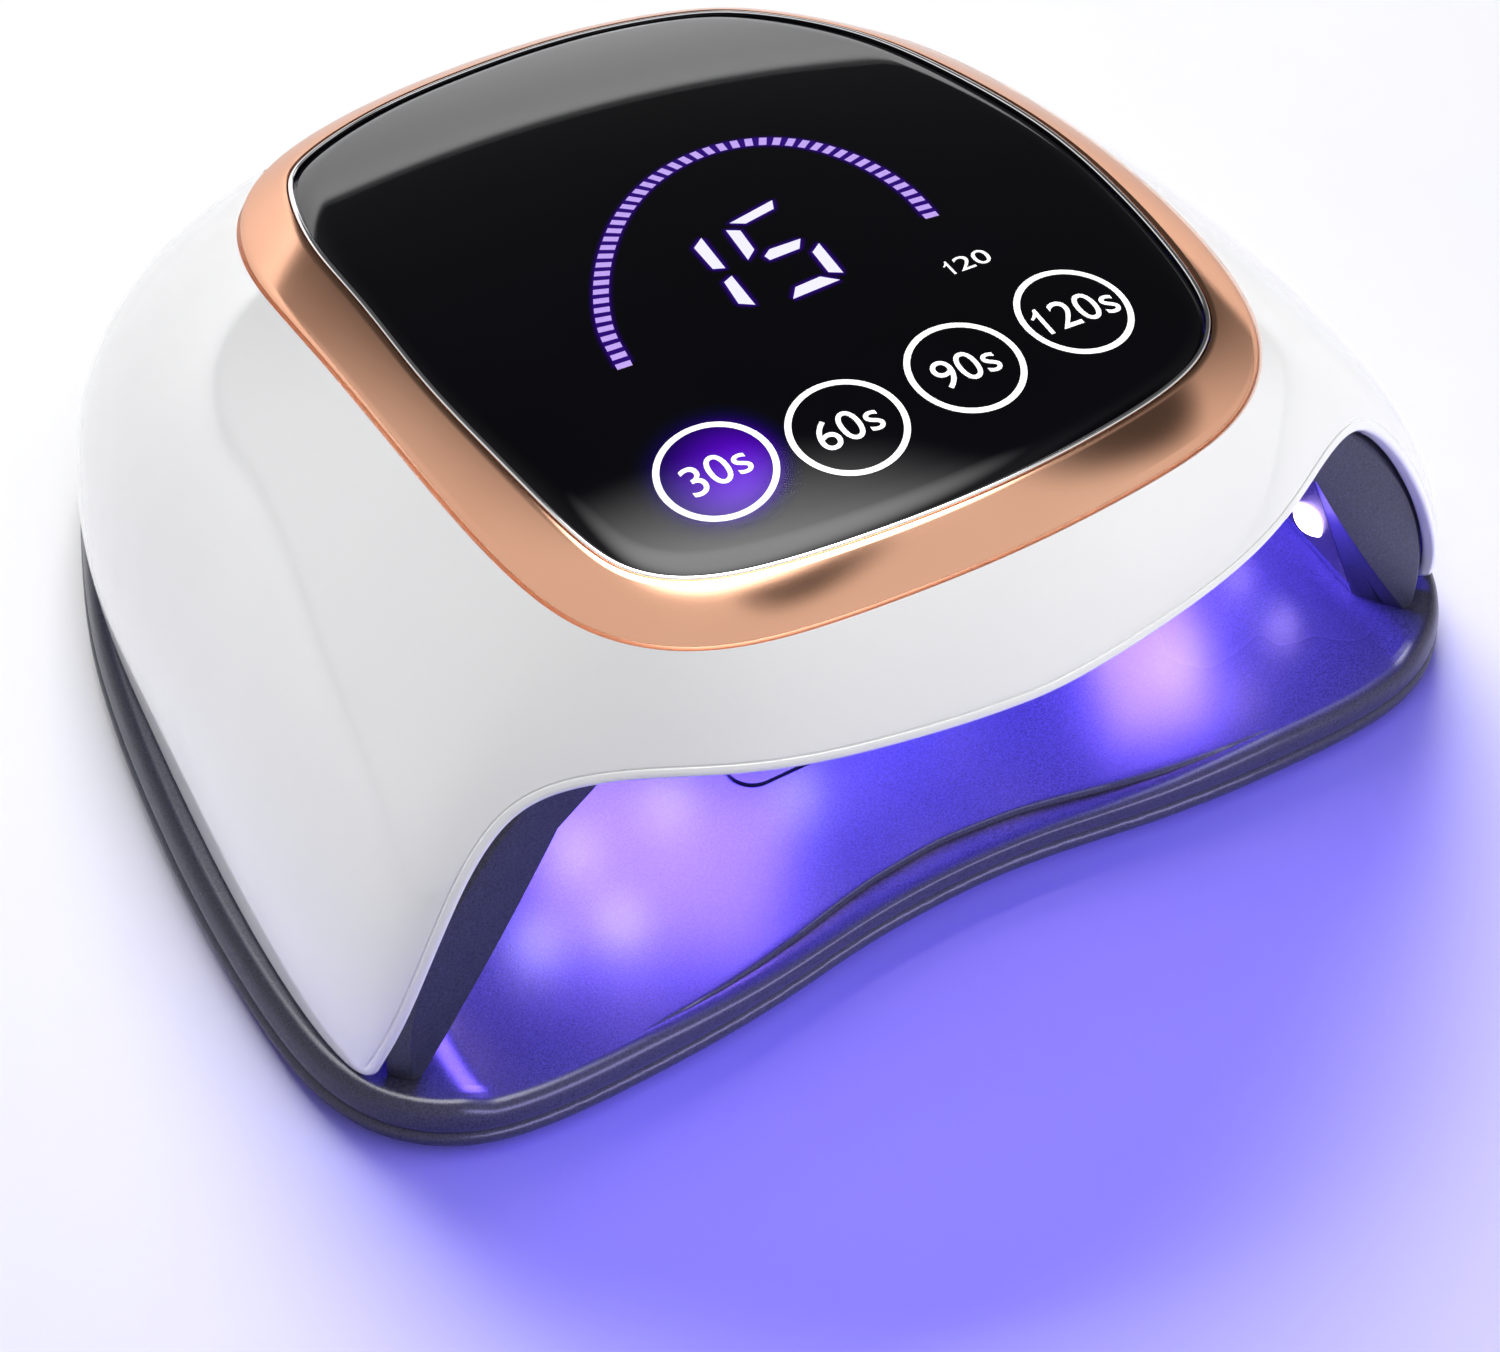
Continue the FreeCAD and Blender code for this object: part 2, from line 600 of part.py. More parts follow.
def carry_handle():
    """Bail that lies flush behind the ring: two arms and a grip that follows the ring."""
    inner_half = HANDLE_HALF - HANDLE_ARM
    skin = hull(2 * FIT).cut(hull(2 * FIT + HANDLE_DEPTH, 4))
    loop = box(-HANDLE_HALF, HANDLE_HALF, REAR_START_Y, FAR, PIVOT_Z, WINDOW_TOP_Z)
    loop = loop.cut(box(-inner_half, inner_half, REAR_START_Y, FAR, 0, FINGER_GAP_Z))
    bail = skin.common(loop).cut(plate(RING_HALF, -0.5, 0, FAR))
    for side in (-1, 1):
        eye = rod((side * inner_half, PIVOT_Y, PIVOT_Z), (side, 0, 0), HANDLE_DEPTH / 2, HANDLE_ARM)
        bail = bail.fuse(eye)
        bore = rod((side * (inner_half - 1), PIVOT_Y, PIVOT_Z), (side, 0, 0),
                   PIN_RADIUS + PIN_CLEARANCE, HANDLE_ARM + 2)
        bail = bail.cut(bore)
    return largest(bail)


def handle_pins():
    pins = []
    for side in (-1, 1):
        start = side * (HANDLE_HALF - HANDLE_ARM + 0.5)
        pins.append(rod((start, PIVOT_Y, PIVOT_Z), (side, 0, 0), PIN_RADIUS, PIN_REACH - 0.5))
    return Part.makeCompound(pins)


# ---------------------------------------------------------------- electronics
PANEL_TILT = math.degrees(math.atan(2 * BOW_Y * BOARD_SLOPE_Y))
PANEL_BOARD = Placement(Vector(*BOARD_CENTRE), Rotation(Vector(1, 0, 0), -PANEL_TILT))


def control_board():
    board = box(-42, 42, -40, 38, -1.6, 0)
    for x in (-38, 38):
        for y in (-36, 34):
            board = board.cut(rod((x, y, -3), (0, 0, 1), 1.6, 5))
    board.Placement = PANEL_BOARD
    return board


def display_module():
    """Lit display under the glass: a black frame with an arched window for the gauge."""
    module = box(-38, 38, -12, 36, 0, DISPLAY_HEIGHT)
    floor_z = DISPLAY_HEIGHT - GAUGE_DEPTH
    well = rod((0, -6, floor_z), (0, 0, 1), GAUGE_RADIUS, GAUGE_DEPTH + 1)
    well = well.common(box(-36, 36, -9, 33, 0, 2 * DISPLAY_HEIGHT))
    module = module.cut(well)
    module.Placement = PANEL_BOARD
    return module


def touch_pads():
    """Foam contact under each touch key, from the board up to the glass."""
    pads = []
    for x, y in KEY_PLACES:
        foot = PANEL_BOARD.multVec(Vector(x, y - BOARD_CENTRE[1], 0))
        low_z = foot.z + PAD_RADIUS * math.tan(math.radians(PANEL_TILT)) + PAD_GAP
        room = rod((foot.x, foot.y, low_z), (0, 0, 1), PAD_RADIUS, FAR)
        pads.append(room.cut(above_deck(GLASS_THICK + PAD_GAP)))
    return Part.makeCompound(pads)


def driver_board():
    """Board that stands behind the reflector and feeds the LEDs."""
    return box(-34, 50, DRIVER_Y, DRIVER_Y + DRIVER_THICK, FLANGE_TOP_Z + 0.2, 34)


def driver_parts():
    """Coils and capacitors on the driver board."""
    y = DRIVER_Y + DRIVER_THICK + 0.1
    parts = [rod((x, y, 23), (0, 1, 0), COIL_RADIUS, 6.0) for x in (-26, -14)]
    parts.append(box(8, 22, y, y + 4.8, 18, 30))
    parts.append(box(28, 36, y, y + 3.3, 18, 26))
    return Part.makeCompound(parts)


def dc_jack():
    """Power inlet: a round socket with its centre pin, let into the rear of the cover."""
    inside = hull(JACK_RIM)
    floor_y = JACK_BACK_Y + JACK_WALL
    body = rod((JACK_X, JACK_BACK_Y, JACK_Z), (0, 1, 0), JACK_RADIUS, FAR).common(inside)
    body = body.cut(rod((JACK_X, floor_y, JACK_Z), (0, 1, 0), JACK_BORE, FAR))
    pin = rod((JACK_X, floor_y - 0.5, JACK_Z), (0, 1, 0), JACK_PIN, FAR)
    return body.fuse(pin.common(hull(3 * JACK_RIM)))


def motion_sensor():
    """Infrared eye in the front of the roof that starts the lamp."""
    low_z = CAVITY_ROOF[1] + REFLECTOR_THICK + 0.2
    return box(-9, 9, REFLECTOR_FRONT_Y + 0.5, REFLECTOR_FRONT_Y + 5.5, low_z, low_z + 3.6)


# ---------------------------------------------------------------- tray
def tray_top():
    """Upper half of the tray: rounded rim, dished floor, bevelled front."""
    body = stack(TRAY_HALF, TOP_LEVELS)
    body = body.cut(plate(SCOOP_HALF, 0, TRAY_FLOOR_Z, FAR))
    body = body.cut(notch_ledge())
    body = body.cut(plate(TRAY_HALF, TRAY_WALL, 0, TRAY_FLOOR_Z - FLOOR_SKIN))
    body = body.cut(inlay_outline(0.1, TRAY_FLOOR_Z - INLAY_SEAT, FAR))
    for x, y in TRAY_SCREW_PLACES:
        body = body.fuse(rod((x, y, TRAY_SPLIT_Z + REST_GAP), (0, 0, 1), POST_RADIUS, 3.0))
        body = body.cut(rod((x, y, 0), (0, 0, 1), PILOT_RADIUS - 0.1, TRAY_FLOOR_Z - MAGNET_COVER))
    for x, y in MAGNET_PLACES:
        seat = rod((x, y, 0), (0, 0, 1), MAGNET_RADIUS + MAGNET_PLAY, TRAY_TOP_Z - MAGNET_COVER)
        body = body.cut(seat)
    return largest(body)


def notch_ledge():
    """Room above the ledge that lies in front of the floor's edge."""
    right = [Vector(x, y, FRONT_LEDGE_Z) for x, y in STEP_HALF]
    left = [Vector(-p.x, p.y, p.z) for p in reversed(right[1:])]
    edge = Part.BSplineCurve()
    edge.interpolate(left + right)
    corners = [right[-1], Vector(right[-1].x, -FAR, FRONT_LEDGE_Z),
               Vector(left[0].x, -FAR, FRONT_LEDGE_Z), left[0]]
    face = Part.Face(Part.Wire([edge.toShape()] + Part.makePolygon(corners).Edges))
    return face.extrude(Vector(0, 0, FAR))


def tray_bottom():
    """Lower half of the tray: a shallow pan that closes it."""
    post_z = TRAY_BOTTOM_Z + 0.5
    body = stack(TRAY_HALF, BOTTOM_LEVELS)
    body = body.cut(plate(TRAY_HALF, TRAY_WALL, TRAY_BOTTOM_Z + TRAY_SKIN, FAR))
    for x, y in TRAY_SCREW_PLACES:
        body = body.fuse(rod((x, y, post_z), (0, 0, 1), 4.5, TRAY_SPLIT_Z - post_z))
        body = body.cut(rod((x, y, 0), (0, 0, 1), SCREW_CLEARANCE, TRAY_TOP_Z))
        body = body.cut(rod((x, y, 0), (0, 0, 1), SCREW_SINK_RADIUS + 0.2, TRAY_BOTTOM_Z + 2.4))
    for x, y in FOOT_PLACES:
        body = body.cut(rod((x, y, 0), (0, 0, 1), FOOT_RADIUS + 0.1, TRAY_BOTTOM_Z + FOOT_SINK))
    return largest(body)


def inlay_outline(grow, z0, z1):
    """Rounded rectangle in the middle of the tray's floor."""
    half = INLAY_HALF + grow
    body = box(-half, half, INLAY_FRONT_Y - grow, INLAY_REAR_Y + grow, z0, z1)
    upright = [e for e in body.Edges if abs(e.Vertexes[0].Z - e.Vertexes[1].Z) > 0.1]
    return body.makeFillet(INLAY_CORNER + grow, upright)


def tray_inlay():
    return inlay_outline(-0.3, TRAY_FLOOR_Z - INLAY_SEAT, TRAY_FLOOR_Z + INLAY_PROUD)


def discs(places, radius, z0, z1):
    return Part.makeCompound([rod((x, y, z0), (0, 0, 1), radius, z1 - z0) for x, y in places])


def screws(places, head_z, shank_radius, length):
    """Pan-head screws driven upwards, each with a cross slot in its head."""
    reach = HEAD_RADIUS * 0.7
    slot_half = 0.3
    slot_top = head_z + HEAD_HEIGHT / 2
    group = []
    for x, y in places:
        screw = rod((x, y, head_z), (0, 0, 1), HEAD_RADIUS, HEAD_HEIGHT)
        screw = screw.fuse(rod((x, y, head_z), (0, 0, 1), shank_radius, length))
        for wide, deep in ((reach, slot_half), (slot_half, reach)):
            screw = screw.cut(box(x - wide, x + wide, y - deep, y + deep, head_z - 1, slot_top))
        group.append(screw)
    return Part.makeCompound(group)


# ---------------------------------------------------------------- write the lamp
save("tray_bottom", tray_bottom())
save("tray_top", tray_top())
save("tray_inlay", tray_inlay())
magnet_top = TRAY_TOP_Z - MAGNET_COVER - MAGNET_PLAY
save("tray_magnets", discs(MAGNET_PLACES, MAGNET_RADIUS, magnet_top - MAGNET_THICK, magnet_top))
save("rubber_feet", discs(FOOT_PLACES, FOOT_RADIUS, 0, TRAY_BOTTOM_Z + FOOT_SINK))
save("tray_screws", screws(TRAY_SCREW_PLACES, TRAY_BOTTOM_Z + 0.9, SHANK_RADIUS - 0.1, 7.0))
save("mouth_frame", mouth_frame())
save("lower_housing", lower_housing())
save("head_magnets", discs(MAGNET_PLACES, MAGNET_RADIUS, HEAD_Z, HEAD_Z + MAGNET_THICK))
save("housing_screws", screws(SCREW_PLACES, HEAD_Z + 0.2, SHANK_RADIUS, 12.0))
save("top_cover", top_cover())
save("trim_ring", trim_ring())
save("inner_bezel", inner_bezel())
save("glass_panel", glass_panel())
save("glass_frame", glass_frame())
save("control_board", control_board())
save("display_module", display_module())
save("touch_pads", touch_pads())
save("reflector", reflector())
for field in LED_FIELDS:
    save("led_board_" + field, led_board(field))
    save("led_lenses_" + field, led_lenses(field))
save("motion_sensor", motion_sensor())
save("driver_board", driver_board())
save("driver_parts", driver_parts())
save("dc_jack", dc_jack())
save("rear_cover", rear_cover())
save("carry_handle", carry_handle())
save("handle_pins", handle_pins())
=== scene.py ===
import json
import math

import bmesh
import bpy
import numpy as np
from mathutils import Matrix, Vector

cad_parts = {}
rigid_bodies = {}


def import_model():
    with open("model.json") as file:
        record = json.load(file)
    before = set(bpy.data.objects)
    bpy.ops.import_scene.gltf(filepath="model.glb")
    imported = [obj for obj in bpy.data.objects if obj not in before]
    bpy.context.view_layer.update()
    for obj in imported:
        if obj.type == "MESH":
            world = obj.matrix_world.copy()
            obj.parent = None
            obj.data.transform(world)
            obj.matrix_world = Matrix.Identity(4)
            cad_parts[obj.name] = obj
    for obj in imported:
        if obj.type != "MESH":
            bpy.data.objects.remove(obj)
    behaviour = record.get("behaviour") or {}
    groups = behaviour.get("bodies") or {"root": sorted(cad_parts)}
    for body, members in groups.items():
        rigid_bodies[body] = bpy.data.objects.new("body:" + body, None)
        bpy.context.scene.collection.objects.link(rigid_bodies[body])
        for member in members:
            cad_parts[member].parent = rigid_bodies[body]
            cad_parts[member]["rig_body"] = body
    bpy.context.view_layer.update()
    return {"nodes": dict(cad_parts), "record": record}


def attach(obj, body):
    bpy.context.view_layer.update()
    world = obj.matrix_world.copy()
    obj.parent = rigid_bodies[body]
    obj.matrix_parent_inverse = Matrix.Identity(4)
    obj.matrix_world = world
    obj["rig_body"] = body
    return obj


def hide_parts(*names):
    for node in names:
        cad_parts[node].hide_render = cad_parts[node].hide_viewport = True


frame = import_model()

# UV curing lamp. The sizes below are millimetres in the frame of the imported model: +Z up,
# mouth towards -Y, origin on the table. They are turned into metres when a mesh is made.
MM = 0.001

HEAD_Z = 12.1               # the head's bottom edge
CREST_Y = -55.0             # highest place of the bowed top
CREST_Z = 98.3
BOW_X = 0.0016
BOW_Y = 0.0024
BAND_DROP = 4.0             # the side ends this far under the top
WALL = 2.6
GLASS_INSET = 1.1
WINDOW_HALF = 40.6          # opening in the rear for the vent cover
WINDOW_LOW_Z = 17.6
WINDOW_TOP_Z = 100.0
WINDOW_CORNER = 2.0
JACK_X = 62.0               # opening for the inlet
JACK_Z = 25.0
JACK_RADIUS = 5.15

# Stations round the head, right half, from the front's middle to the rear's: the ring's
# outer edge, the bottom edge, and the bulge angle of the side between them.
STATIONS = [
    ((0, -88.4), (0, -117.5), 58), ((24, -86.8), (31, -114.5), 58), ((42, -83), (56, -107.5), 58),
    ((54, -76.5), (78, -95.5), 56), ((61.5, -67.5), (96, -84.5), 54), ((65.5, -56), (105.5, -75.5), 48),
    ((67.3, -40), (108.2, -56), 40), ((67.4, -18), (107, -28), 34), ((66.2, 6), (103.8, 2), 30),
    ((64.8, 24), (99.8, 29), 30), ((62, 43), (93, 53), 32), ((55, 62), (82, 74), 36),
    ((43, 76), (63, 90), 42), ((24, 84.5), (34, 97.5), 46), ((0, 87), (0, 99.2), 48),
]
RING_HALF = [station[0] for station in STATIONS]
GLASS_HALF = [
    (0, -79.6), (24, -77.7), (42, -73.2), (52, -66), (56.5, -54), (58.5, -32), (58.7, -10),
    (56.5, 14), (53.5, 37), (47, 58), (38, 69.5), (20, 76.5), (0, 78),
]
TRAY_HALF = [
    (0, -87), (18, -88), (34, -90.3), (48, -91.8), (62, -92.5), (78, -92.5), (92, -90.2),
    (103, -83.5), (110, -72), (112.5, -54), (111.8, -28), (108.6, 0), (102.6, 29), (93, 54),
    (81, 76), (62, 92), (35, 100.5), (0, 102.5),
]
MOUTH_HALF = [
    (0, 73.5), (30, 74.2), (55, 74), (69, 71.8), (79, 66.8), (87, 57.5), (94, 44.5),
    (100, 29.5), (104.3, 16), (105.2, 8),
]


# ---------------------------------------------------------------- curves
def mirrored(half):
    """Closed list of rows from a right half that starts and ends on the middle line."""
    return [tuple(row) for row in half] + [(-row[0],) + tuple(row[1:]) for row in half[-2:0:-1]]


def closed_spline(points):
    """Smooth closed curve through points, as a function of the turn from 0 to 1."""
    points = np.array(points, float)
    count = len(points)
    system = np.eye(count) * 4
    for i in range(count):
        system[i, (i + 1) % count] += 1
        system[i, i - 1] += 1
    control = np.linalg.solve(system / 6, points)

    def at(turn):
        place = (np.asarray(turn, float) % 1.0) * count
        first = np.floor(place).astype(int)
        f = (place - first)[..., None]
        weights = [(1 - f) ** 3, 3 * f ** 3 - 6 * f ** 2 + 4,
                   -3 * f ** 3 + 3 * f ** 2 + 3 * f + 1, f ** 3]
        return sum(w * control[(first + k - 1) % count] for k, w in enumerate(weights)) / 6
    return at


def open_spline(points, count):
    """Points along a smooth open curve through the given ones."""
    points = np.array(points, float)
    padded = np.vstack([2 * points[0] - points[1], points, 2 * points[-1] - points[-2]])
    place = np.linspace(0, len(points) - 1 - 1e-9, count)
    i = np.floor(place).astype(int)
    f = (place - i)[:, None]
    a, b, c, d = (padded[i + k] for k in range(4))
    return 0.5 * (2 * b + (c - a) * f + (2 * a - 5 * b + 4 * c - d) * f ** 2
                  + (3 * b - a - 3 * c + d) * f ** 3)


def even(points, count, closed=False):
    """The same line with points evenly spaced along it."""
    points = np.asarray(points, float)
    if closed:
        points = np.vstack([points, points[:1]])
    steps = np.linalg.norm(np.diff(points, axis=0), axis=1)
    along = np.concatenate([[0], np.cumsum(steps)])
    wanted = np.linspace(0, along[-1], count + 1 if closed else count)
    found = np.stack([np.interp(wanted, along, points[:, k]) for k in range(points.shape[1])], -1)
    return found[:-1] if closed else found


def even_loop(half, count):
    """Closed smooth outline from its right half, with evenly spaced points."""
    dense = closed_spline(mirrored(half))(np.linspace(0, 1, 4000, endpoint=False))
    return even(dense, count, closed=True)


def inward(loop):
    """Unit normals of a flat counter-clockwise loop, pointing to its inside."""
    along = np.roll(loop, -1, axis=0) - np.roll(loop, 1, axis=0)
    along /= np.linalg.norm(along, axis=1)[:, None]
    return np.stack([-along[:, 1], along[:, 0]], -1)


def deck(x, y):
    """Height of the lamp's bowed top."""
    return CREST_Z - BOW_X * x ** 2 - BOW_Y * (y - CREST_Y) ** 2


# ---------------------------------------------------------------- the side of the head
def station_rows():
    """Top x and y, foot x and y, and bulge of every station, left half included."""
    rows = [(*top, *foot, bulge) for top, foot, bulge in STATIONS]
    return rows + [(-r[0], r[1], -r[2], r[3], r[4]) for r in rows[-2:0:-1]]


side_stations = closed_spline(station_rows())


def side(turn, rise):
    """Outer surface of the head: rise is 0 at the bottom edge and 1 at the ring."""
    row = side_stations(turn)
    top, foot, bulge = row[..., 0:2], row[..., 2:4], np.radians(row[..., 4])
    angle = bulge * rise
    out = (np.cos(angle) - np.cos(bulge)) / (1 - np.cos(bulge))
    up = np.sin(angle) / np.sin(bulge)
    top_z = deck(top[..., 0], top[..., 1]) - BAND_DROP
    plan = top + (foot - top) * out[..., None]
    return np.concatenate([plan, (HEAD_Z + (top_z - HEAD_Z) * up)[..., None]], -1)


def side_normal(turn, rise):
    """Outward unit normal of the side."""
    step = 1e-4
    across = side(turn + step, rise) - side(turn - step, rise)
    upward = side(turn, rise + step) - side(turn, rise - step)
    normal = np.cross(across, upward)
    return normal / np.linalg.norm(normal, axis=-1)[..., None]


def mouth_edge(count):
    """(turn, rise) along the right half of the mouth's edge, from its crown to the foot's tip."""
    arch = open_spline(MOUTH_HALF, 600)
    turns = np.linspace(0, 0.24, 4000)
    low, high = np.zeros_like(turns), np.full_like(turns, 0.9)

    def above(rise):
        p = side(turns, rise)
        return np.where(p[:, 0] > arch[-1, 0], 1.0, p[:, 2] - np.interp(p[:, 0], arch[:, 0], arch[:, 1]))
    for _ in range(40):
        middle = (low + high) / 2
        outside = above(middle) > 0
        high = np.where(outside, middle, high)
        low = np.where(outside, low, middle)
    cut = high > 1e-4
    last = np.nonzero(cut)[0][-1]
    edge = np.stack([turns[:last + 1], high[:last + 1]], -1)
    edge[-1, 1] = 0.0
    places = side(edge[:, 0], edge[:, 1])
    steps = np.concatenate([[0], np.cumsum(np.linalg.norm(np.diff(places, axis=0), axis=1))])
    wanted = np.linspace(0, steps[-1], count)
    return np.stack([np.interp(wanted, steps, edge[:, k]) for k in range(2)], -1)


def bottom_edge(start, count):
    """(turn, rise) along the right half of the bottom edge, from the foot's tip to the rear."""
    turns = np.linspace(start, 0.5, 2000)
    places = side(turns, np.zeros_like(turns))
    steps = np.concatenate([[0], np.cumsum(np.linalg.norm(np.diff(places, axis=0), axis=1))])
    found = np.interp(np.linspace(0, steps[-1], count), steps, turns)
    return np.stack([found, np.zeros(count)], -1)


# ---------------------------------------------------------------- meshes
def make_mesh(name, points, faces, body, material, smooth_angle=35, slot=None):
    """One piece from points in millimetres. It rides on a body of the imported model."""
    mesh = bpy.data.meshes.new(name)
    mesh.from_pydata([tuple(p) for p in np.asarray(points) * MM], [], faces)
    bm = bmesh.new()
    bm.from_mesh(mesh)
    bmesh.ops.recalc_face_normals(bm, faces=bm.faces)
    for face in bm.faces:
        face.smooth = True
    for edge in bm.edges:
        edge.smooth = edge.calc_face_angle(0.0) < math.radians(smooth_angle)
    bm.to_mesh(mesh)
    bm.free()
    piece = bpy.data.objects.new(name, mesh)
    bpy.context.scene.collection.objects.link(piece)
    mesh.materials.append(material)
    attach(piece, body)
    return piece


def grid_faces(rows, columns, close_rows=False, close_columns=True, offset=0):
    """Quads of a grid whose points are stored row by row."""
    faces = []
    for r in range(rows if close_rows else rows - 1):
        for c in range(columns if close_columns else columns - 1):
            a, b = r * columns + c, r * columns + (c + 1) % columns
            step = ((r + 1) % rows) * columns
            faces.append((offset + a, offset + b, offset + step + (c + 1) % columns, offset + step + c))
    return faces


def swept(rings):
    """Points and faces of a closed band, from rings of equally many points."""
    points = np.concatenate(rings)
    return points, grid_faces(len(rings), len(rings[0]), close_rows=True)


# ---------------------------------------------------------------- material helpers
def new_material(name, colour, roughness, metallic=0.0, **sockets):
    """Principled material with constants on its own sockets."""
    material = bpy.data.materials.new(name)
    material.use_nodes = True
    shader = material.node_tree.nodes["Principled BSDF"]
    shader.inputs["Base Color"].default_value = (*colour, 1)
    shader.inputs["Roughness"].default_value = roughness
    shader.inputs["Metallic"].default_value = metallic
    for socket, value in sockets.items():
        shader.inputs[socket.replace("_", " ")].default_value = value
    return material


def shader_of(material):
    return material.node_tree.nodes["Principled BSDF"]


def add_node(material, kind, **values):
    node = material.node_tree.nodes.new(kind)
    for name, value in values.items():
        if name in node.inputs:
            node.inputs[name].default_value = value
        else:
            setattr(node, name, value)
    return node


def link(material, source, target):
    material.node_tree.links.new(source, target)


def object_noise(material, scale, detail=3.0, roughness=0.5):
    place = add_node(material, "ShaderNodeTexCoord")
    noise = add_node(material, "ShaderNodeTexNoise", Scale=scale, Detail=detail, Roughness=roughness)
    link(material, place.outputs["Object"], noise.inputs["Vector"])
    return noise.outputs["Fac"]


def ramped(material, source, low, high):
    """Colours from low to high along a 0 to 1 value."""
    ramp = add_node(material, "ShaderNodeValToRGB")
    ramp.color_ramp.elements[0].position = 0.3
    ramp.color_ramp.elements[1].position = 0.7
    ramp.color_ramp.elements[0].color = (*low, 1)
    ramp.color_ramp.elements[1].color = (*high, 1)
    link(material, source, ramp.inputs["Fac"])
    return ramp.outputs["Color"]


def scaled(material, source, low, high):
    span = add_node(material, "ShaderNodeMapRange")
    span.interpolation_type = "SMOOTHSTEP"
    span.inputs["From Min"].default_value = 0.25
    span.inputs["From Max"].default_value = 0.75
    span.inputs["To Min"].default_value = low
    span.inputs["To Max"].default_value = high
    link(material, source, span.inputs["Value"])
    return span.outputs["Result"]


def add_bump(material, source, strength, distance):
    bump = add_node(material, "ShaderNodeBump", Strength=strength, Distance=distance)
    link(material, source, bump.inputs["Height"])
    link(material, bump.outputs["Normal"], shader_of(material).inputs["Normal"])
    return bump


def moulded(name, low, high, roughness, grain_scale, grain, bump, metallic=0.0, **sockets):
    """Plastic or metal whose colour, roughness and surface vary finely."""
    material = new_material(name, low, roughness[0], metallic, **sockets)
    broad = object_noise(material, 18.0)
    fine = object_noise(material, grain_scale, detail=2.0, roughness=0.6)
    shader = shader_of(material)
    link(material, ramped(material, broad if grain == 0 else fine, low, high), shader.inputs["Base Color"])
    link(material, scaled(material, broad, *roughness), shader.inputs["Roughness"])
    if bump:
        add_bump(material, fine, bump[0], bump[1])
    return material


MATERIALS = {
    "white_gloss": moulded("white_shell", (0.86, 0.86, 0.87), (0.9, 0.9, 0.905), (0.10, 0.14), 900, 0,
                           (0.02, 0.00005), Coat_Weight=1.0, Coat_Roughness=0.04),
    "rose_gold": moulded("rose_gold_plate", (0.80, 0.42, 0.27), (0.86, 0.48, 0.32), (0.10, 0.15), 500, 0,
                         (0.02, 0.00004), metallic=1.0, Specular_Tint=(0.8, 0.7, 0.65, 1)),
    "bright_trim": moulded("bright_trim", (0.86, 0.86, 0.88), (0.93, 0.93, 0.94), (0.08, 0.12), 500, 0,
                           None, metallic=1.0),
    "black_glass": moulded("black_glass", (0.002, 0.002, 0.003), (0.003, 0.003, 0.005), (0.03, 0.05), 300, 0,
                           None, IOR=1.27),
    "gloss_black": moulded("gloss_black", (0.008, 0.008, 0.010), (0.013, 0.013, 0.016), (0.12, 0.2), 700, 0,
                           (0.03, 0.00005)),
    "slate_satin": moulded("slate_satin", (0.010, 0.011, 0.022), (0.050, 0.052, 0.095), (0.38, 0.5), 2600, 1,
                           (0.35, 0.0001)),
    "satin_black": moulded("tray_satin", (0.014, 0.014, 0.024), (0.040, 0.040, 0.065), (0.25, 0.28), 3200, 1,
                           (0.22, 0.00008), IOR=1.38),
    "circuit_board": moulded("circuit_board", (0.01, 0.10, 0.045), (0.02, 0.16, 0.07), (0.3, 0.45), 900, 1,
                             (0.1, 0.0001)),
    "steel": moulded("plated_steel", (0.45, 0.45, 0.47), (0.62, 0.62, 0.64), (0.25, 0.35), 1500, 1,
                     (0.1, 0.00005), metallic=1.0),
    "rubber": moulded("rubber", (0.012, 0.012, 0.012), (0.03, 0.03, 0.03), (0.75, 0.9), 1800, 1, (0.3, 0.0002)),
    "foam": moulded("contact_foam", (0.05, 0.05, 0.055), (0.12, 0.12, 0.13), (0.85, 0.95), 1500, 1,
                    (0.6, 0.0003)),
    "navy_gloss": moulded("navy_reflector", (0.006, 0.007, 0.02), (0.012, 0.013, 0.035), (0.12, 0.18), 1200, 0,
                          (0.05, 0.00005)),
    "aluminium": moulded("board_aluminium", (0.6, 0.6, 0.62), (0.75, 0.75, 0.77), (0.3, 0.4), 900, 1,
                         (0.1, 0.00005), metallic=1.0),
    "lens": moulded("led_lens", (0.6, 0.5, 0.9), (0.7, 0.6, 1.0), (0.1, 0.15), 600, 0, None,
                    Emission_Color=(0.62, 0.45, 1.0, 1), Emission_Strength=14.0),
}
SLOTS = {part["node"]: part["material_slot"] for part in frame["record"]["subparts"]}
for node, cad in frame["nodes"].items():
    cad.data.materials.clear()
    cad.data.materials.append(MATERIALS[SLOTS[node]])


# ---------------------------------------------------------------- white shell of the head
SHELL_SPLIT = 4.0           # width of the strip along the edge that follows the edge exactly
EDGE_PROFILE = [            # distance from the edge and depth under the outer surface
    (3.4, 0.0), (2.5, 0.0), (2.1, 0.04), (1.95, 0.22), (1.75, 0.24), (1.6, 0.05), (1.3, 0.0),
    (0.8, 0.03), (0.4, 0.13), (0.12, 0.4), (0.0, 0.85), (0.0, 1.75), (0.12, 2.2), (0.4, 2.48),
    (0.8, 2.6), (3.4, 2.6),
]
MOUTH_COLUMNS, FOOT_COLUMNS, SIDE_ROWS = 190, 230, 44
TIP_SMOOTHING = 5           # columns over which the foot's tip is rounded


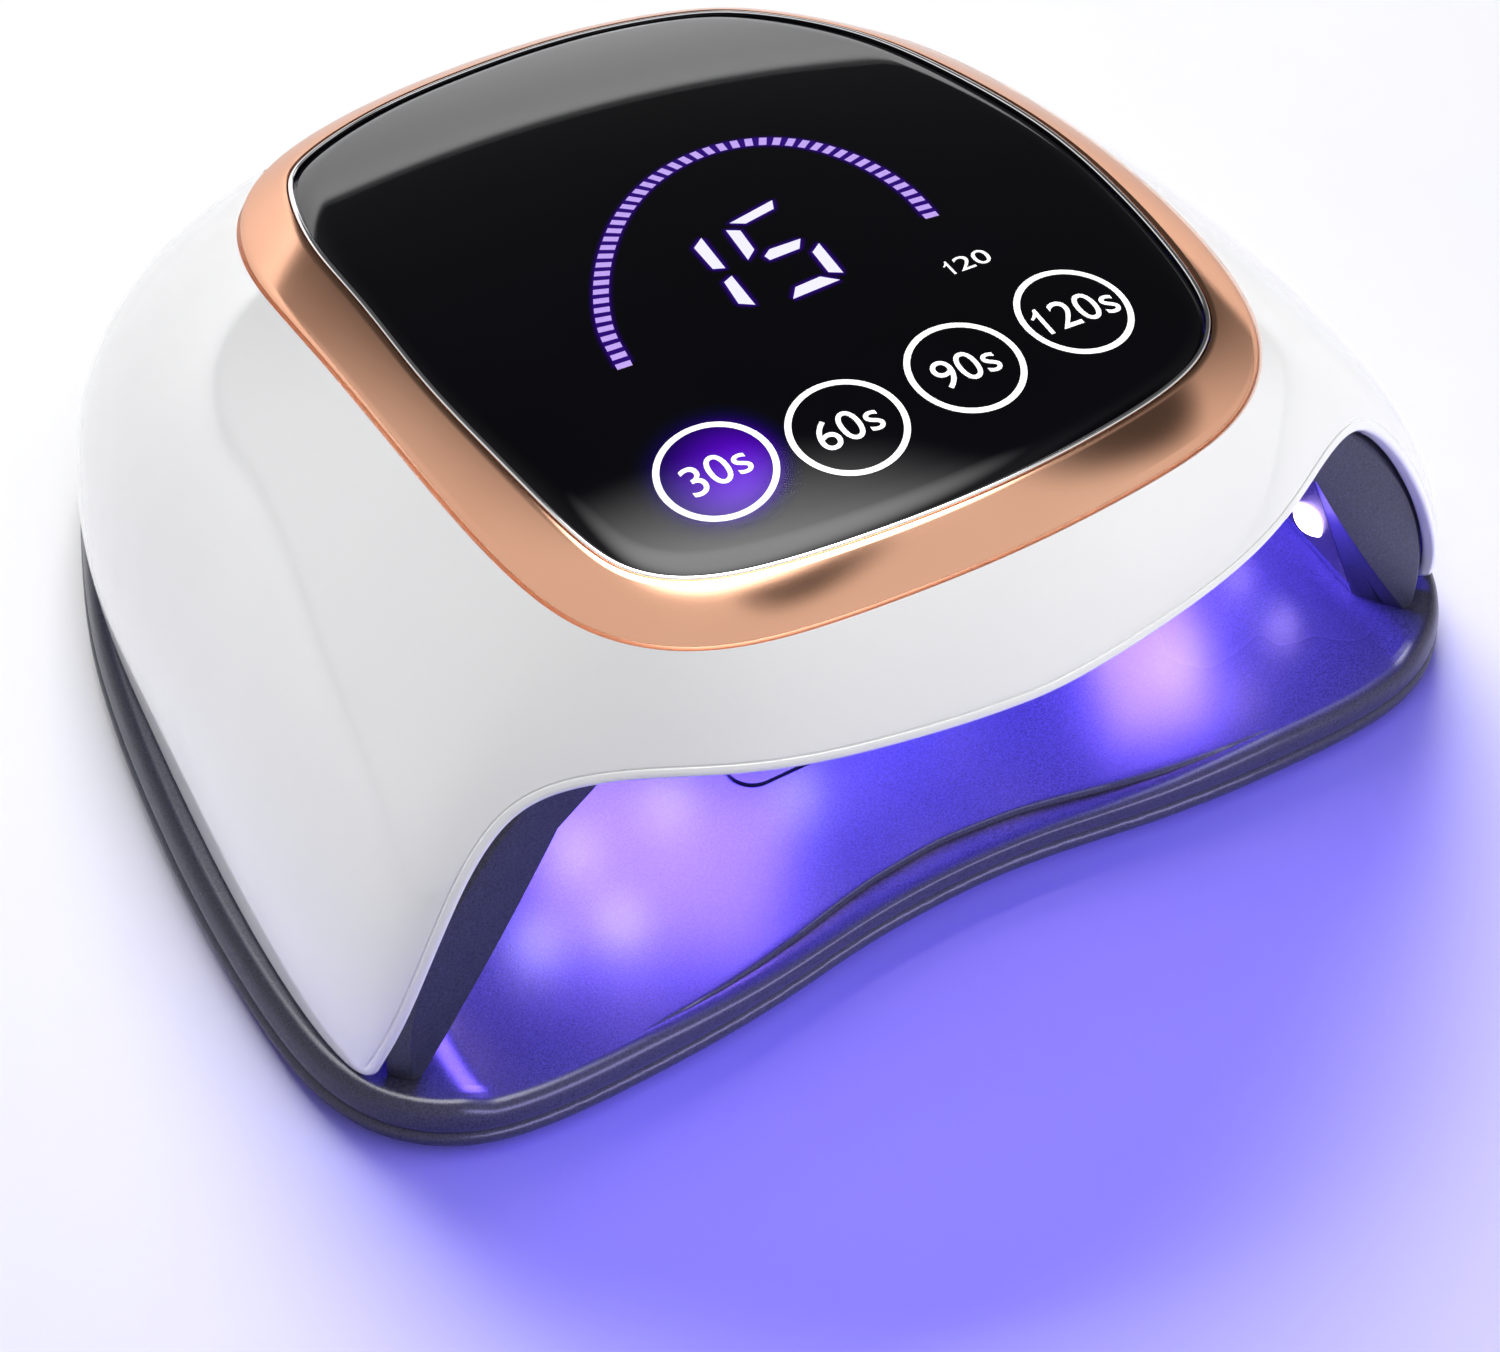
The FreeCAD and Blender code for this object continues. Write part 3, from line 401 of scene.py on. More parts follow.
def shell_edge():
    """(turn, rise) round the head's lower edge, from the left rear round the front."""
    mouth = mouth_edge(MOUTH_COLUMNS)
    foot = bottom_edge(mouth[-1, 0], FOOT_COLUMNS)
    half = np.vstack([mouth, foot[1:]])
    weights = np.ones(2 * TIP_SMOOTHING + 1) / (2 * TIP_SMOOTHING + 1)
    padded = np.vstack([half[TIP_SMOOTHING:0:-1] * (-1, 1), half, half[-2:-2 - TIP_SMOOTHING:-1]])
    padded[-TIP_SMOOTHING:, 0] = 1.0 - padded[-TIP_SMOOTHING:, 0]
    smooth = np.stack([np.convolve(padded[:, k], weights, "valid") for k in range(2)], -1)
    return np.vstack([smooth, (smooth[-2:0:-1] * (-1, 1)) + (1, 0)])


def stepped_in(edge, distance):
    """Edge parameters moved up the surface, square to the edge."""
    here = side(edge[:, 0], edge[:, 1])
    along = np.roll(here, -1, axis=0) - np.roll(here, 1, axis=0)
    square = np.cross(side_normal(edge[:, 0], edge[:, 1]), along)
    square /= np.linalg.norm(square, axis=1)[:, None]
    step = 1e-3
    by_turn = (side(edge[:, 0] + step, edge[:, 1]) - side(edge[:, 0] - step, edge[:, 1])) / (2 * step)
    by_rise = (side(edge[:, 0], edge[:, 1] + step) - side(edge[:, 0], edge[:, 1] - step)) / (2 * step)
    a, b, c = (by_turn ** 2).sum(1), (by_turn * by_rise).sum(1), (by_rise ** 2).sum(1)
    e, f = (by_turn * square).sum(1), (by_rise * square).sum(1)
    det = a * c - b * b
    return edge + distance * np.stack([(e * c - f * b) / det, (f * a - e * b) / det], -1)


def shell_point(params, depth):
    """Points under the outer surface, by one depth or a depth each."""
    outer = side(params[:, 0], params[:, 1])
    return outer - side_normal(params[:, 0], params[:, 1]) * np.reshape(depth, (-1, 1))


def build_shell():
    edge = shell_edge()
    inner_edge = stepped_in(edge, SHELL_SPLIT)
    edge_turns = np.unwrap(inner_edge[:, 0] * 2 * np.pi) / (2 * np.pi)
    turns = np.linspace(0, 1, 4001)
    tops = side(turns, np.ones_like(turns))
    along = np.concatenate([[0], np.cumsum(np.linalg.norm(np.diff(tops, axis=0), axis=1))])
    even_turns = np.interp((np.arange(len(edge)) / len(edge)) * along[-1], along, turns)
    ring_turns = 0.35 * even_turns + 0.65 * edge_turns

    def side_row(number, depth):
        """Points of one row between the ring and the strip that follows the edge."""
        share = number / SIDE_ROWS
        turn = ring_turns + (edge_turns - ring_turns) * share
        rise = 1 + (inner_edge[:, 1] - 1) * share
        return shell_point(np.stack([turn, rise], -1), depth)

    rows = [side_row(k, 0.0) for k in range(SIDE_ROWS + 1)]
    groove = np.clip((edge[:, 1] - 0.02) / 0.05, 0, 1)      # it runs out along the bottom edge
    for distance, depth in EDGE_PROFILE:
        if 1.5 < distance < 2.2 and depth < 1:
            depth = depth * groove
        rows.append(shell_point(stepped_in(edge, distance), depth))
    rows += [side_row(k, WALL) for k in range(SIDE_ROWS, -1, -2)]
    points, faces = swept(rows)
    return make_mesh("shell", points, faces, "lamp_head", MATERIALS["white_gloss"], slot="white_gloss")


def cut_by(piece, points, faces):
    """Cut a closed form, given in millimetres, out of a piece."""
    mesh = bpy.data.meshes.new("cutter")
    mesh.from_pydata([tuple(p) for p in np.asarray(points, float) * MM], [], faces)
    cutter = bpy.data.objects.new("cutter", mesh)
    bpy.context.scene.collection.objects.link(cutter)
    bm = bmesh.new()
    bm.from_mesh(mesh)
    bmesh.ops.recalc_face_normals(bm, faces=bm.faces)
    bm.to_mesh(mesh)
    bm.free()
    cut = piece.modifiers.new("cut", "BOOLEAN")
    cut.operation = "DIFFERENCE"
    cut.solver = "EXACT"
    cut.object = cutter
    bpy.context.view_layer.update()
    result = bpy.data.meshes.new_from_object(piece.evaluated_get(bpy.context.evaluated_depsgraph_get()))
    piece.modifiers.remove(cut)
    piece.data = result
    bpy.data.objects.remove(cutter)


def prism(outline, y0, y1):
    """Closed form with an outline in X and Z between two Y values."""
    outline = np.asarray(outline, float)
    count = len(outline)
    points = [(x, y0, z) for x, z in outline] + [(x, y1, z) for x, z in outline]
    faces = [(i, (i + 1) % count, count + (i + 1) % count, count + i) for i in range(count)]
    return points, faces + [tuple(range(count)), tuple(range(2 * count - 1, count - 1, -1))]


def circle(centre, radius, count=48):
    angles = np.linspace(0, 2 * math.pi, count, endpoint=False)
    return np.stack([centre[0] + radius * np.cos(angles), centre[1] + radius * np.sin(angles)], -1)


def rounded_box(x0, x1, z0, z1, radius, count=8):
    corners = [(x1 - radius, z0 + radius, -90), (x1 - radius, z1 - radius, 0),
               (x0 + radius, z1 - radius, 90), (x0 + radius, z0 + radius, 180)]
    outline = []
    for x, z, start in corners:
        for k in range(count + 1):
            angle = math.radians(start + 90 * k / count)
            outline.append((x + radius * math.cos(angle), z + radius * math.sin(angle)))
    return outline


REAR_START_Y, REAR_END_Y = 55.0, 130.0      # the rear openings are cut between these
shell = build_shell()
window = rounded_box(-WINDOW_HALF, WINDOW_HALF, WINDOW_LOW_Z, WINDOW_TOP_Z, WINDOW_CORNER)
cut_by(shell, *prism(window, REAR_START_Y, REAR_END_Y))
cut_by(shell, *prism(circle((JACK_X, JACK_Z), JACK_RADIUS), REAR_START_Y, REAR_END_Y))
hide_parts("top_cover")


# ---------------------------------------------------------------- ring, bright line and glass
LOOP_COUNT = 640
ring_loop = even_loop(RING_HALF, LOOP_COUNT)
glass_loop = even_loop(GLASS_HALF, LOOP_COUNT)
RING_GAP = 0.65             # dark gap between the white shell and the ring
RING_LOW = 3.75             # the ring's outer edge lies this far under the top
REAR_RAISE = 2.3            # at the rear it lies higher by this much
RING_HIGH = 0.28            # its inner edge stands this far over it
RING_CROWN = 0.30           # bulge of the bevel
GLASS_DROP = 0.12
PILLOW_WIDTH = 4.2          # rounded border of the glass
PILLOW_DROP = 0.75


def on_deck(plan, lift):
    return np.column_stack([plan, deck(plan[:, 0], plan[:, 1]) + lift])


def ring_band():
    outer = ring_loop + inward(ring_loop) * RING_GAP
    rear = np.clip((outer[:, 1] - 45) / 35, 0, 1)
    low = deck(outer[:, 0], outer[:, 1]) - RING_LOW + REAR_RAISE * rear ** 2 * (3 - 2 * rear)
    high = deck(glass_loop[:, 0], glass_loop[:, 1]) + RING_HIGH
    rows = [np.column_stack([outer, low - 1.6 - REAR_RAISE * rear]), np.column_stack([outer, low - 0.35])]
    for share in (0.02, 0.06, 0.14, 0.3, 0.5, 0.7, 0.86, 0.94, 0.98):
        plan = outer + (glass_loop - outer) * share
        edge = min(share, 1 - share)
        rounding = -0.35 * max(0.0, 1 - edge / 0.07) ** 2
        z = low + (high - low) * share + RING_CROWN * 4 * share * (1 - share) + rounding
        rows.append(np.column_stack([plan, z]))
    rows.append(np.column_stack([glass_loop, high - 0.6]))
    rows.append(np.column_stack([glass_loop, high - 2.0]))
    back = outer + (glass_loop - outer) * 0.5
    rows.append(np.column_stack([back, (low + high) / 2 - 2.6]))
    return swept(rows)


def add_attribute(piece, name, values):
    layer = piece.data.attributes.new(name, "FLOAT", "POINT")
    layer.data.foreach_set("value", np.asarray(values, np.float32))


ring = make_mesh("ring", *ring_band(), "lamp_head", MATERIALS["rose_gold"], slot="rose_gold")
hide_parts("trim_ring")

BEZEL_PROFILE = [(0.12, -1.2), (0.12, -0.05), (0.2, 0.08), (0.4, 0.17), (0.62, 0.17), (0.84, 0.08),
                 (0.95, -0.08), (0.95, -1.2)]
glass_inward = inward(glass_loop)
bezel = make_mesh("bezel", *swept([on_deck(glass_loop + glass_inward * inset, lift)
                                   for inset, lift in BEZEL_PROFILE]),
                  "lamp_head", MATERIALS["bright_trim"], slot="bright_trim")
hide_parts("inner_bezel")


def glass_z(x, y):
    """Top of the glass away from its rounded border."""
    return deck(x, y) - GLASS_DROP


def build_glass():
    rows = []
    rim = glass_loop + glass_inward * GLASS_INSET
    rows.append(on_deck(rim, -2.2))
    steps = [0, 0.15, 0.4, 0.8, 1.3, 1.9, 2.6, 3.4, PILLOW_WIDTH]
    for step in steps:
        drop = PILLOW_DROP * (1 - step / PILLOW_WIDTH) ** 2.2
        rows.append(on_deck(rim + glass_inward * step, -GLASS_DROP - drop))
    inner = rim + glass_inward * steps[-1]
    centre = inner.mean(axis=0)
    shares = np.linspace(1, 0.03, 26)[1:]
    for share in shares:
        rows.append(on_deck(centre + (inner - centre) * share, -GLASS_DROP))
    points = np.concatenate(rows)
    faces = grid_faces(len(rows), LOOP_COUNT)
    faces.append(tuple(range((len(rows) - 1) * LOOP_COUNT, len(rows) * LOOP_COUNT)))
    base = len(points)
    lower = [on_deck(rim, -2.2), on_deck(centre + (rim - centre) * 0.03, -2.2)]
    points = np.concatenate([points, lower[1]])
    faces += [(i, (i + 1) % LOOP_COUNT, base + (i + 1) % LOOP_COUNT, base + i) for i in range(LOOP_COUNT)]
    faces.append(tuple(range(base, base + LOOP_COUNT)))
    return make_mesh("glass", points, faces, "lamp_head", MATERIALS["black_glass"], slot="black_glass")


glass = build_glass()
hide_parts("glass_panel")


# ---------------------------------------------------------------- lit figures on the glass
LIFT = 0.10                 # lit figures stand this far over the glass
GLOW_LIFT = 0.05            # and the glow round them this far
LIT_WHITE = new_material("lit_white", (0.1, 0.1, 0.12), 0.4, Emission_Color=(0.86, 0.84, 1.0, 1),
                         Emission_Strength=0.95, IOR=1.27)
LIT_LILAC = new_material("lit_lilac", (0.06, 0.04, 0.1), 0.4, Emission_Color=(0.52, 0.36, 0.88, 1),
                         Emission_Strength=0.9)
LIT_KEY = new_material("lit_key", (0.85, 0.85, 0.85), 0.35, Emission_Color=(1, 1, 1, 1),
                       Emission_Strength=0.55)
for lit in (LIT_WHITE, LIT_LILAC, LIT_KEY):
    cells = object_noise(lit, 1500.0)
    link(lit, scaled(lit, cells, 0.3, 0.5), shader_of(lit).inputs["Roughness"])


def glow_material(name, inner, outer):
    """Light under the glass that fades with the piece's glow value."""
    material = new_material(name, (0, 0, 0), 0.05, Emission_Strength=1.0, IOR=1.27)
    level = add_node(material, "ShaderNodeAttribute", attribute_name="glow")
    ramp = add_node(material, "ShaderNodeValToRGB")
    ramp.color_ramp.elements[0].color = (*outer, 1)
    ramp.color_ramp.elements[1].color = (*inner, 1)
    link(material, level.outputs["Fac"], ramp.inputs["Fac"])
    link(material, ramp.outputs["Color"], shader_of(material).inputs["Emission Color"])
    link(material, level.outputs["Fac"], shader_of(material).inputs["Alpha"])
    smear = scaled(material, object_noise(material, 1500.0), 0.04, 0.07)
    link(material, smear, shader_of(material).inputs["Roughness"])
    return material


GLOW = glow_material("glow_violet", (0.03, 0.004, 0.22), (0.02, 0.0, 0.12))
KEY_GLOW = glow_material("glow_key", (0.13, 0.002, 0.70), (0.01, 0.0, 0.24))


def lit_piece(name, groups, faces, material, lift, glow=None):
    """Flat figures laid on the glass: points in plan, as one piece."""
    plan = np.concatenate([np.asarray(g, float) for g in groups])
    points = np.column_stack([plan, glass_z(plan[:, 0], plan[:, 1]) + lift])
    piece = make_mesh(name, points, faces, "lamp_head", material, slot="black_glass")
    if glow is not None:
        add_attribute(piece, "glow", glow)
    bm = bmesh.new()
    bm.from_mesh(piece.data)
    bm.normal_update()
    bmesh.ops.reverse_faces(bm, faces=[f for f in bm.faces if f.normal.z < 0])
    bm.to_mesh(piece.data)
    bm.free()
    return piece


def outlines_piece(name, outlines, material):
    """One flat face for every outline."""
    faces, start = [], 0
    for outline in outlines:
        faces.append(tuple(range(start, start + len(outline))))
        start += len(outline)
    return lit_piece(name, outlines, faces, material, LIFT)


def rim_glow(name, outlines, width):
    """Glow that fades outwards over width round each outline."""
    groups, faces, glow, start = [], [], [], 0
    for outline in outlines:
        dense = even(np.asarray(outline, float), 24, closed=True)
        count = len(dense)
        outward = -inward(dense)
        following = np.roll(dense, -1, axis=0)
        if np.sum(dense[:, 0] * following[:, 1] - following[:, 0] * dense[:, 1]) < 0:
            outward = -outward
        for share in (0.0, 0.35, 0.7, 1.0):
            groups.append(dense + outward * width * share)
            glow += [(1 - share) ** 1.5] * count
        faces += grid_faces(4, count, offset=start)
        faces.append(tuple(range(start, start + count)))
        start += 4 * count
    return lit_piece(name, groups, faces, GLOW, GLOW_LIFT, glow)


# Middle line of the gauge, from its start at the lower left to its end at the right.
GAUGE_LINE = [
    (-33.1, -29.4), (-31.2, -20.8), (-27.2, -12.4), (-21.6, -4.4), (-14.6, 2.8), (-6.6, 8.2), (1.4, 10.9),
    (8.8, 11.0), (15.2, 8.6), (20.2, 4.0), (23.7, -2.4), (25.8, -9.8), (26.6, -17.6), (26.1, -25.0),
]
GAUGE_BARS = 48
BAR_WIDTH, BAR_HEIGHT = 1.25, 2.45


def gauge_line(count):
    """Points along the gauge and the outward direction at each."""
    middle = even(open_spline(GAUGE_LINE, 400), count)
    along = np.gradient(middle, axis=0)
    along /= np.linalg.norm(along, axis=1)[:, None]
    return middle, along, np.stack([-along[:, 1], along[:, 0]], -1)


def gauge_bars():
    corners = ((-1, -1), (1, -1), (1, 1), (-1, 1))
    return [[p + a * BAR_WIDTH / 2 * i + out * BAR_HEIGHT / 2 * j for i, j in corners]
            for p, a, out in zip(*gauge_line(GAUGE_BARS))]


def gauge_glow():
    middle, _, out = gauge_line(120)
    offsets = [-2.1, -1.6, -1.2, 0, 1.2, 1.6, 2.1]
    levels = [0, 0.3, 0.85, 0.85, 0.85, 0.3, 0]
    groups = [middle + out * offset for offset in offsets]
    glow = np.repeat(levels, len(middle))
    faces = grid_faces(len(offsets), len(middle), close_columns=False)
    return lit_piece("gauge_glow", groups, faces, GLOW, GLOW_LIFT, glow)


# Lit strokes of the two figures, as corners in plan.
DIGIT_STROKES = [
    [(-9.9, -11.9), (-7.6, -10.3), (-8.7, -19.3), (-10.4, -18.3)],
    [(-10.7, -22.2), (-8.9, -21.5), (-9.6, -29.6), (-11.6, -27.9)],
    [(-1.9, -9.6), (7.0, -8.1), (5.9, -10.3), (0.1, -11.2)],
    [(-3.4, -10.9), (-1.6, -12.3), (-2.5, -17.9), (-4.7, -19.6)],
    [(-2.1, -20.3), (-0.5, -19.2), (5.0, -19.6), (3.5, -21.7), (-1.9, -21.6)],
    [(4.7, -23.6), (6.8, -22.2), (6.0, -30.5), (4.1, -29.2)],
    [(-2.2, -29.5), (2.4, -29.4), (4.6, -31.7), (-4.0, -31.7)],
]
gauge_glow()
outlines_piece("gauge", gauge_bars(), LIT_LILAC)
rim_glow("digit_glow", DIGIT_STROKES, 1.1)
outlines_piece("digits", DIGIT_STROKES, LIT_WHITE)

# Text, place and text width of the four keys; the first is the chosen one.
KEYS = [("30s", (-32.8, -56.1), 10.4), ("60s", (-11.6, -59.3), 10.8), ("90s", (10.8, -57.7), 10.8),
        ("120s", (33.2, -54.8), 15.0)]
KEY_RADIUS, KEY_STROKE, KEY_POINTS = 9.55, 1.05, 96
LABEL_HEIGHT = 6.0


def key_rings():
    groups, faces = [], []
    for number, (_, centre, _) in enumerate(KEYS):
        for radius in (KEY_RADIUS - KEY_STROKE, KEY_RADIUS):
            groups.append(circle(centre, radius, KEY_POINTS))
        faces += grid_faces(2, KEY_POINTS, offset=number * 2 * KEY_POINTS)
    return lit_piece("key_rings", groups, faces, LIT_KEY, LIFT)


ONE_ADVANCE = 0.62          # room that a leading one takes, in parts of the figures' height
ONE = [(0.0, 0.70), (0.05, 0.64), (0.20, 0.74), (0.20, 0.0), (0.33, 0.0), (0.33, 1.0), (0.24, 1.0),
       (0.18, 0.86), (0.08, 0.76)]


def label(name, text, centre, width, height, material):
    """Figures from the built-in font, laid on the glass. A leading one has its own shape."""
    curve = bpy.data.curves.new(name, "FONT")
    curve.body = text.lstrip("1")
    curve.offset = 0.002
    curve.resolution_u = 6
    holder = bpy.data.objects.new(name + "_text", curve)
    bpy.context.scene.collection.objects.link(holder)
    bpy.context.view_layer.update()
    mesh = bpy.data.meshes.new_from_object(holder.evaluated_get(bpy.context.evaluated_depsgraph_get()))
    bpy.data.objects.remove(holder)
    plan = np.array([v.co[:2] for v in mesh.vertices])
    low, high = plan.min(0), plan.max(0)
    start = ONE_ADVANCE * height if text.startswith("1") else 0.0
    plan = (plan - low) / (high - low) * (width - start, height) + (start, 0)
    faces = [tuple(p.vertices) for p in mesh.polygons]
    if start:
        faces.append(tuple(range(len(plan), len(plan) + len(ONE))))
        plan = np.vstack([plan, np.array(ONE) * height * 0.97])
    plan = plan - np.array([width, height]) / 2 + centre
    return lit_piece(name, [plan], faces, material, LIFT + 0.01)


key_rings()
for number, (text, centre, width) in enumerate(KEYS):
    label(f"key_label_{number + 1}", text, centre, width, LABEL_HEIGHT, LIT_KEY)
label("gauge_end_label", "120", (24.4, -37.8), 8.2, 3.4, LIT_KEY)


def chosen_key_glow():
    """The chosen key is lit from below, brightest towards its lower right."""
    centre = np.array(KEYS[0][1])
    groups, glow = [], []
    radii = [0.5, 2, 3.5, 5, 6.2, 7.4, 8.5, 9.5, 10.6, 11.9, 13.4]
    levels = [0.90, 0.88, 0.84, 0.78, 0.70, 0.60, 0.50, 0.38, 0.18, 0.05, 0.0]
    for radius, level in zip(radii, levels):
        points = circle(centre, radius, 72)
        groups.append(points)
        lean = (points - centre) @ np.array([0.6, -0.8]) / 14
        glow += list(np.clip(level * (1 + 0.8 * lean), 0, 1))
    faces = grid_faces(len(radii), 72) + [tuple(range(72))]
    return lit_piece("key_glow", groups, faces, KEY_GLOW, GLOW_LIFT, glow)


chosen_key_glow()


# ---------------------------------------------------------------- softened hard parts
SHARP = math.radians(28)    # edges sharper than this are rounded
FLAT = math.radians(1)      # faces that meet flatter than this are joined first


def softened(node, width):
    """A hard CAD part again with rounded edges; it stands for the CAD node."""
    source = frame["nodes"][node]
    bm = bmesh.new()
    bm.from_mesh(source.data)
    bmesh.ops.remove_doubles(bm, verts=bm.verts, dist=2e-6)
    bmesh.ops.dissolve_limit(bm, angle_limit=FLAT, verts=bm.verts, edges=bm.edges)
    edges = [e for e in bm.edges if len(e.link_faces) == 2 and e.calc_face_angle(0) > SHARP]
    bmesh.ops.bevel(bm, geom=edges, offset=width * MM, segments=3, profile=0.5, affect="EDGES",
                    clamp_overlap=True)
    for face in bm.faces:
        face.smooth = True
    bmesh.ops.recalc_face_normals(bm, faces=bm.faces)
    for edge in bm.edges:
        edge.smooth = edge.calc_face_angle(0.0) < SHARP
    mesh = bpy.data.meshes.new(node + "_soft")
    bm.to_mesh(mesh)
    bm.free()
    piece = bpy.data.objects.new(node + "_soft", mesh)
    bpy.context.scene.collection.objects.link(piece)
    mesh.materials.append(source.data.materials[0])
    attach(piece, source["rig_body"])
    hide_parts(node)
    return piece


mouth_frame = softened("mouth_frame", 1.3)
softened("carry_handle", 0.5)
softened("rear_cover", 0.4)


# ---------------------------------------------------------------- upper half of the tray
SCOOP_HALF = [
    (0, -112), (30, -112), (60, -110), (82, -104), (91, -92), (92.5, -76), (90, -50),
    (88, 0), (84, 30), (66, 58), (30, 66), (0, 67),
]
TRAY_SPLIT_Z, TRAY_FLOOR_Z, TRAY_TOP_Z = 5.6, 11.0, 12.0
STEP_INSETS = [(0, 6.5), (14, 5.95), (30, 4.7), (46, 4.0), (60, 3.8), (112, 3.8)]
STEP_HEIGHTS = [(0, 1.1), (26, 1.1), (40, 0.8), (54, 0.3), (62, 0), (112, 0)]
RAMP_IN, RAMP_OUT = 3.5, 2.0        # the floor rises to the rim over this width
RIM_Z = 8.9                 # the rolled rim starts here
TRAY_COLUMNS = 900
INLAY_HALF, INLAY_FRONT_Y, INLAY_REAR_Y, INLAY_CORNER = 24.0, -56.0, 10.0, 5.0
INLAY_GAP, INLAY_DEPTH = 0.35, 0.8


def tray_ground(plan):
    """Height of the tray inside its rounded rim: the dished floor and the ramp to the rim."""
    loop = even_loop(SCOOP_HALF, 360)
    normals = inward(loop)
    ground = np.empty(len(plan))
    for start in range(0, len(plan), 4000):
        part = plan[start:start + 4000]
        offset = part[:, None, :] - loop[None, :, :]
        nearest = (offset ** 2).sum(2).argmin(1)
        inside = (offset[np.arange(len(part)), nearest] * normals[nearest]).sum(1)
        f = np.clip((RAMP_IN - inside) / (RAMP_IN + RAMP_OUT), 0, 1)
        ground[start:start + 4000] = TRAY_FLOOR_Z + (TRAY_TOP_Z - TRAY_FLOOR_Z) * f * f * (3 - 2 * f)
    return ground


def build_tray_top():
    loop = even_loop(TRAY_HALF, TRAY_COLUMNS)
    normals = inward(loop)
    across = np.abs(loop[:, 0])
    front = loop[:, 1] < 0
    step_at = np.where(front, np.interp(across, *zip(*STEP_INSETS)), 3.8)
    height = np.where(front, np.interp(across, *zip(*STEP_HEIGHTS)), 0.0)
    ledge = tray_ground(loop + normals * 3.4) - height
    rows = []

    def row(inset, z):
        inset = np.broadcast_to(np.asarray(inset, float), across.shape)
        rows.append(np.column_stack([loop + normals * inset[:, None], np.broadcast_to(z, across.shape)]))

    for inset, z in ((1.2, TRAY_SPLIT_Z), (0.85, 5.75), (0.6, 6.1), (0.4, 6.8), (0.4, 7.6), (0.5, 8.3),
                     (0.66, RIM_Z)):
        row(inset, z)
    for inset, share_up in ((0.85, 0.28), (1.12, 0.5), (1.5, 0.7), (2.0, 0.86), (2.6, 0.96), (3.2, 1.0)):
        row(inset, RIM_Z + (ledge - RIM_Z) * share_up)
    for share in (0.5, 0.9):
        row(3.2 + (step_at - 3.4) * share, ledge)
    for out, up in ((-0.1, 0.0), (0.0, 0.08), (0.1, 0.5), (0.2, 0.85), (0.35, 0.97), (0.6, 1.0)):
        row(step_at + out, ledge + height * up)
    for share in np.linspace(0.08, 1, 30):
        inset = step_at + 0.6 + (18.0 - step_at) * share
        row(inset, tray_ground(loop + normals * inset[:, None]))
    inner = rows[-1][:, :2]
    centre = np.array([0.0, -10.0])
    for share in np.linspace(1, 0.03, 40)[1:]:
        plan = centre + (inner - centre) * share
        rows.append(np.column_stack([plan, tray_ground(plan)]))
    points = np.concatenate(rows)
    faces = grid_faces(len(rows), TRAY_COLUMNS)
    faces.append(tuple(range((len(rows) - 1) * TRAY_COLUMNS, len(rows) * TRAY_COLUMNS)))
    under = []
    for inset, z in ((5.0, TRAY_SPLIT_Z), (5.2, 8.5), (40.0, 8.5)):
        under.append(np.column_stack([loop + normals * inset, np.full(TRAY_COLUMNS, z)]))
    base = len(points)
    points = np.concatenate([points] + under)
    faces += grid_faces(3, TRAY_COLUMNS, offset=base)
    faces += [(i, (i + 1) % TRAY_COLUMNS, base + (i + 1) % TRAY_COLUMNS, base + i)
              for i in range(TRAY_COLUMNS)]
    faces.append(tuple(range(base + 2 * TRAY_COLUMNS, base + 3 * TRAY_COLUMNS)))
    return make_mesh("tray_upper", points, faces, "tray", MATERIALS["satin_black"], slot="satin_black")


def upright_prism(outline, z0, z1):
    """Closed form with an outline in X and Y between two heights."""
    points, faces = prism(outline, z0, z1)
    return [(x, z, y) for x, y, z in points], faces


tray_upper = build_tray_top()
inlay_recess = rounded_box(-INLAY_HALF - INLAY_GAP, INLAY_HALF + INLAY_GAP, INLAY_FRONT_Y - INLAY_GAP,
                           INLAY_REAR_Y + INLAY_GAP, INLAY_CORNER)
cut_by(tray_upper, *upright_prism(inlay_recess, TRAY_FLOOR_Z - INLAY_DEPTH, TRAY_TOP_Z + 3))
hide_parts("tray_top")


# ---------------------------------------------------------------- camera, floor and light
AZIMUTH, ELEVATION, ROLL = math.radians(-34.701), math.radians(50.835), math.radians(4.0)
DISTANCE = 0.65915
TARGET = Vector((-0.018304, -0.047777, 0.030))
back = Vector((math.sin(AZIMUTH) * math.cos(ELEVATION), -math.cos(AZIMUTH) * math.cos(ELEVATION),
               math.sin(ELEVATION)))
right = Vector((0, 0, 1)).cross(back).normalized()
upward = back.cross(right)
tilted_right = right * math.cos(ROLL) + upward * math.sin(ROLL)
tilted_up = upward * math.cos(ROLL) - right * math.sin(ROLL)
camera = bpy.data.objects.new("camera", bpy.data.cameras.new("camera"))
camera.data.lens = 96.0
camera.data.sensor_width = 36.0
camera.data.clip_start = 0.05
camera.data.clip_end = 20.0
camera.matrix_world = Matrix((
    (tilted_right.x, tilted_up.x, back.x, TARGET.x + back.x * DISTANCE),
    (tilted_right.y, tilted_up.y, back.y, TARGET.y + back.y * DISTANCE),
    (tilted_right.z, tilted_up.z, back.z, TARGET.z + back.z * DISTANCE),
    (0, 0, 0, 1)))
bpy.context.scene.collection.objects.link(camera)
bpy.context.scene.camera = camera
bpy.context.scene.view_settings.view_transform = "Standard"

FLOOR_HALF = 6.0
floor_mesh = bpy.data.meshes.new("floor")
floor_mesh.from_pydata([(-FLOOR_HALF, -FLOOR_HALF, 0), (FLOOR_HALF, -FLOOR_HALF, 0),
                        (FLOOR_HALF, FLOOR_HALF, 0), (-FLOOR_HALF, FLOOR_HALF, 0)], [], [(0, 1, 2, 3)])
floor = bpy.data.objects.new("floor", floor_mesh)
bpy.context.scene.collection.objects.link(floor)
floor_mesh.materials.append(moulded("floor", (0.80, 0.80, 0.81), (0.83, 0.83, 0.84), (0.6, 0.7), 60, 0, None,
                                    Specular_IOR_Level=0.2))


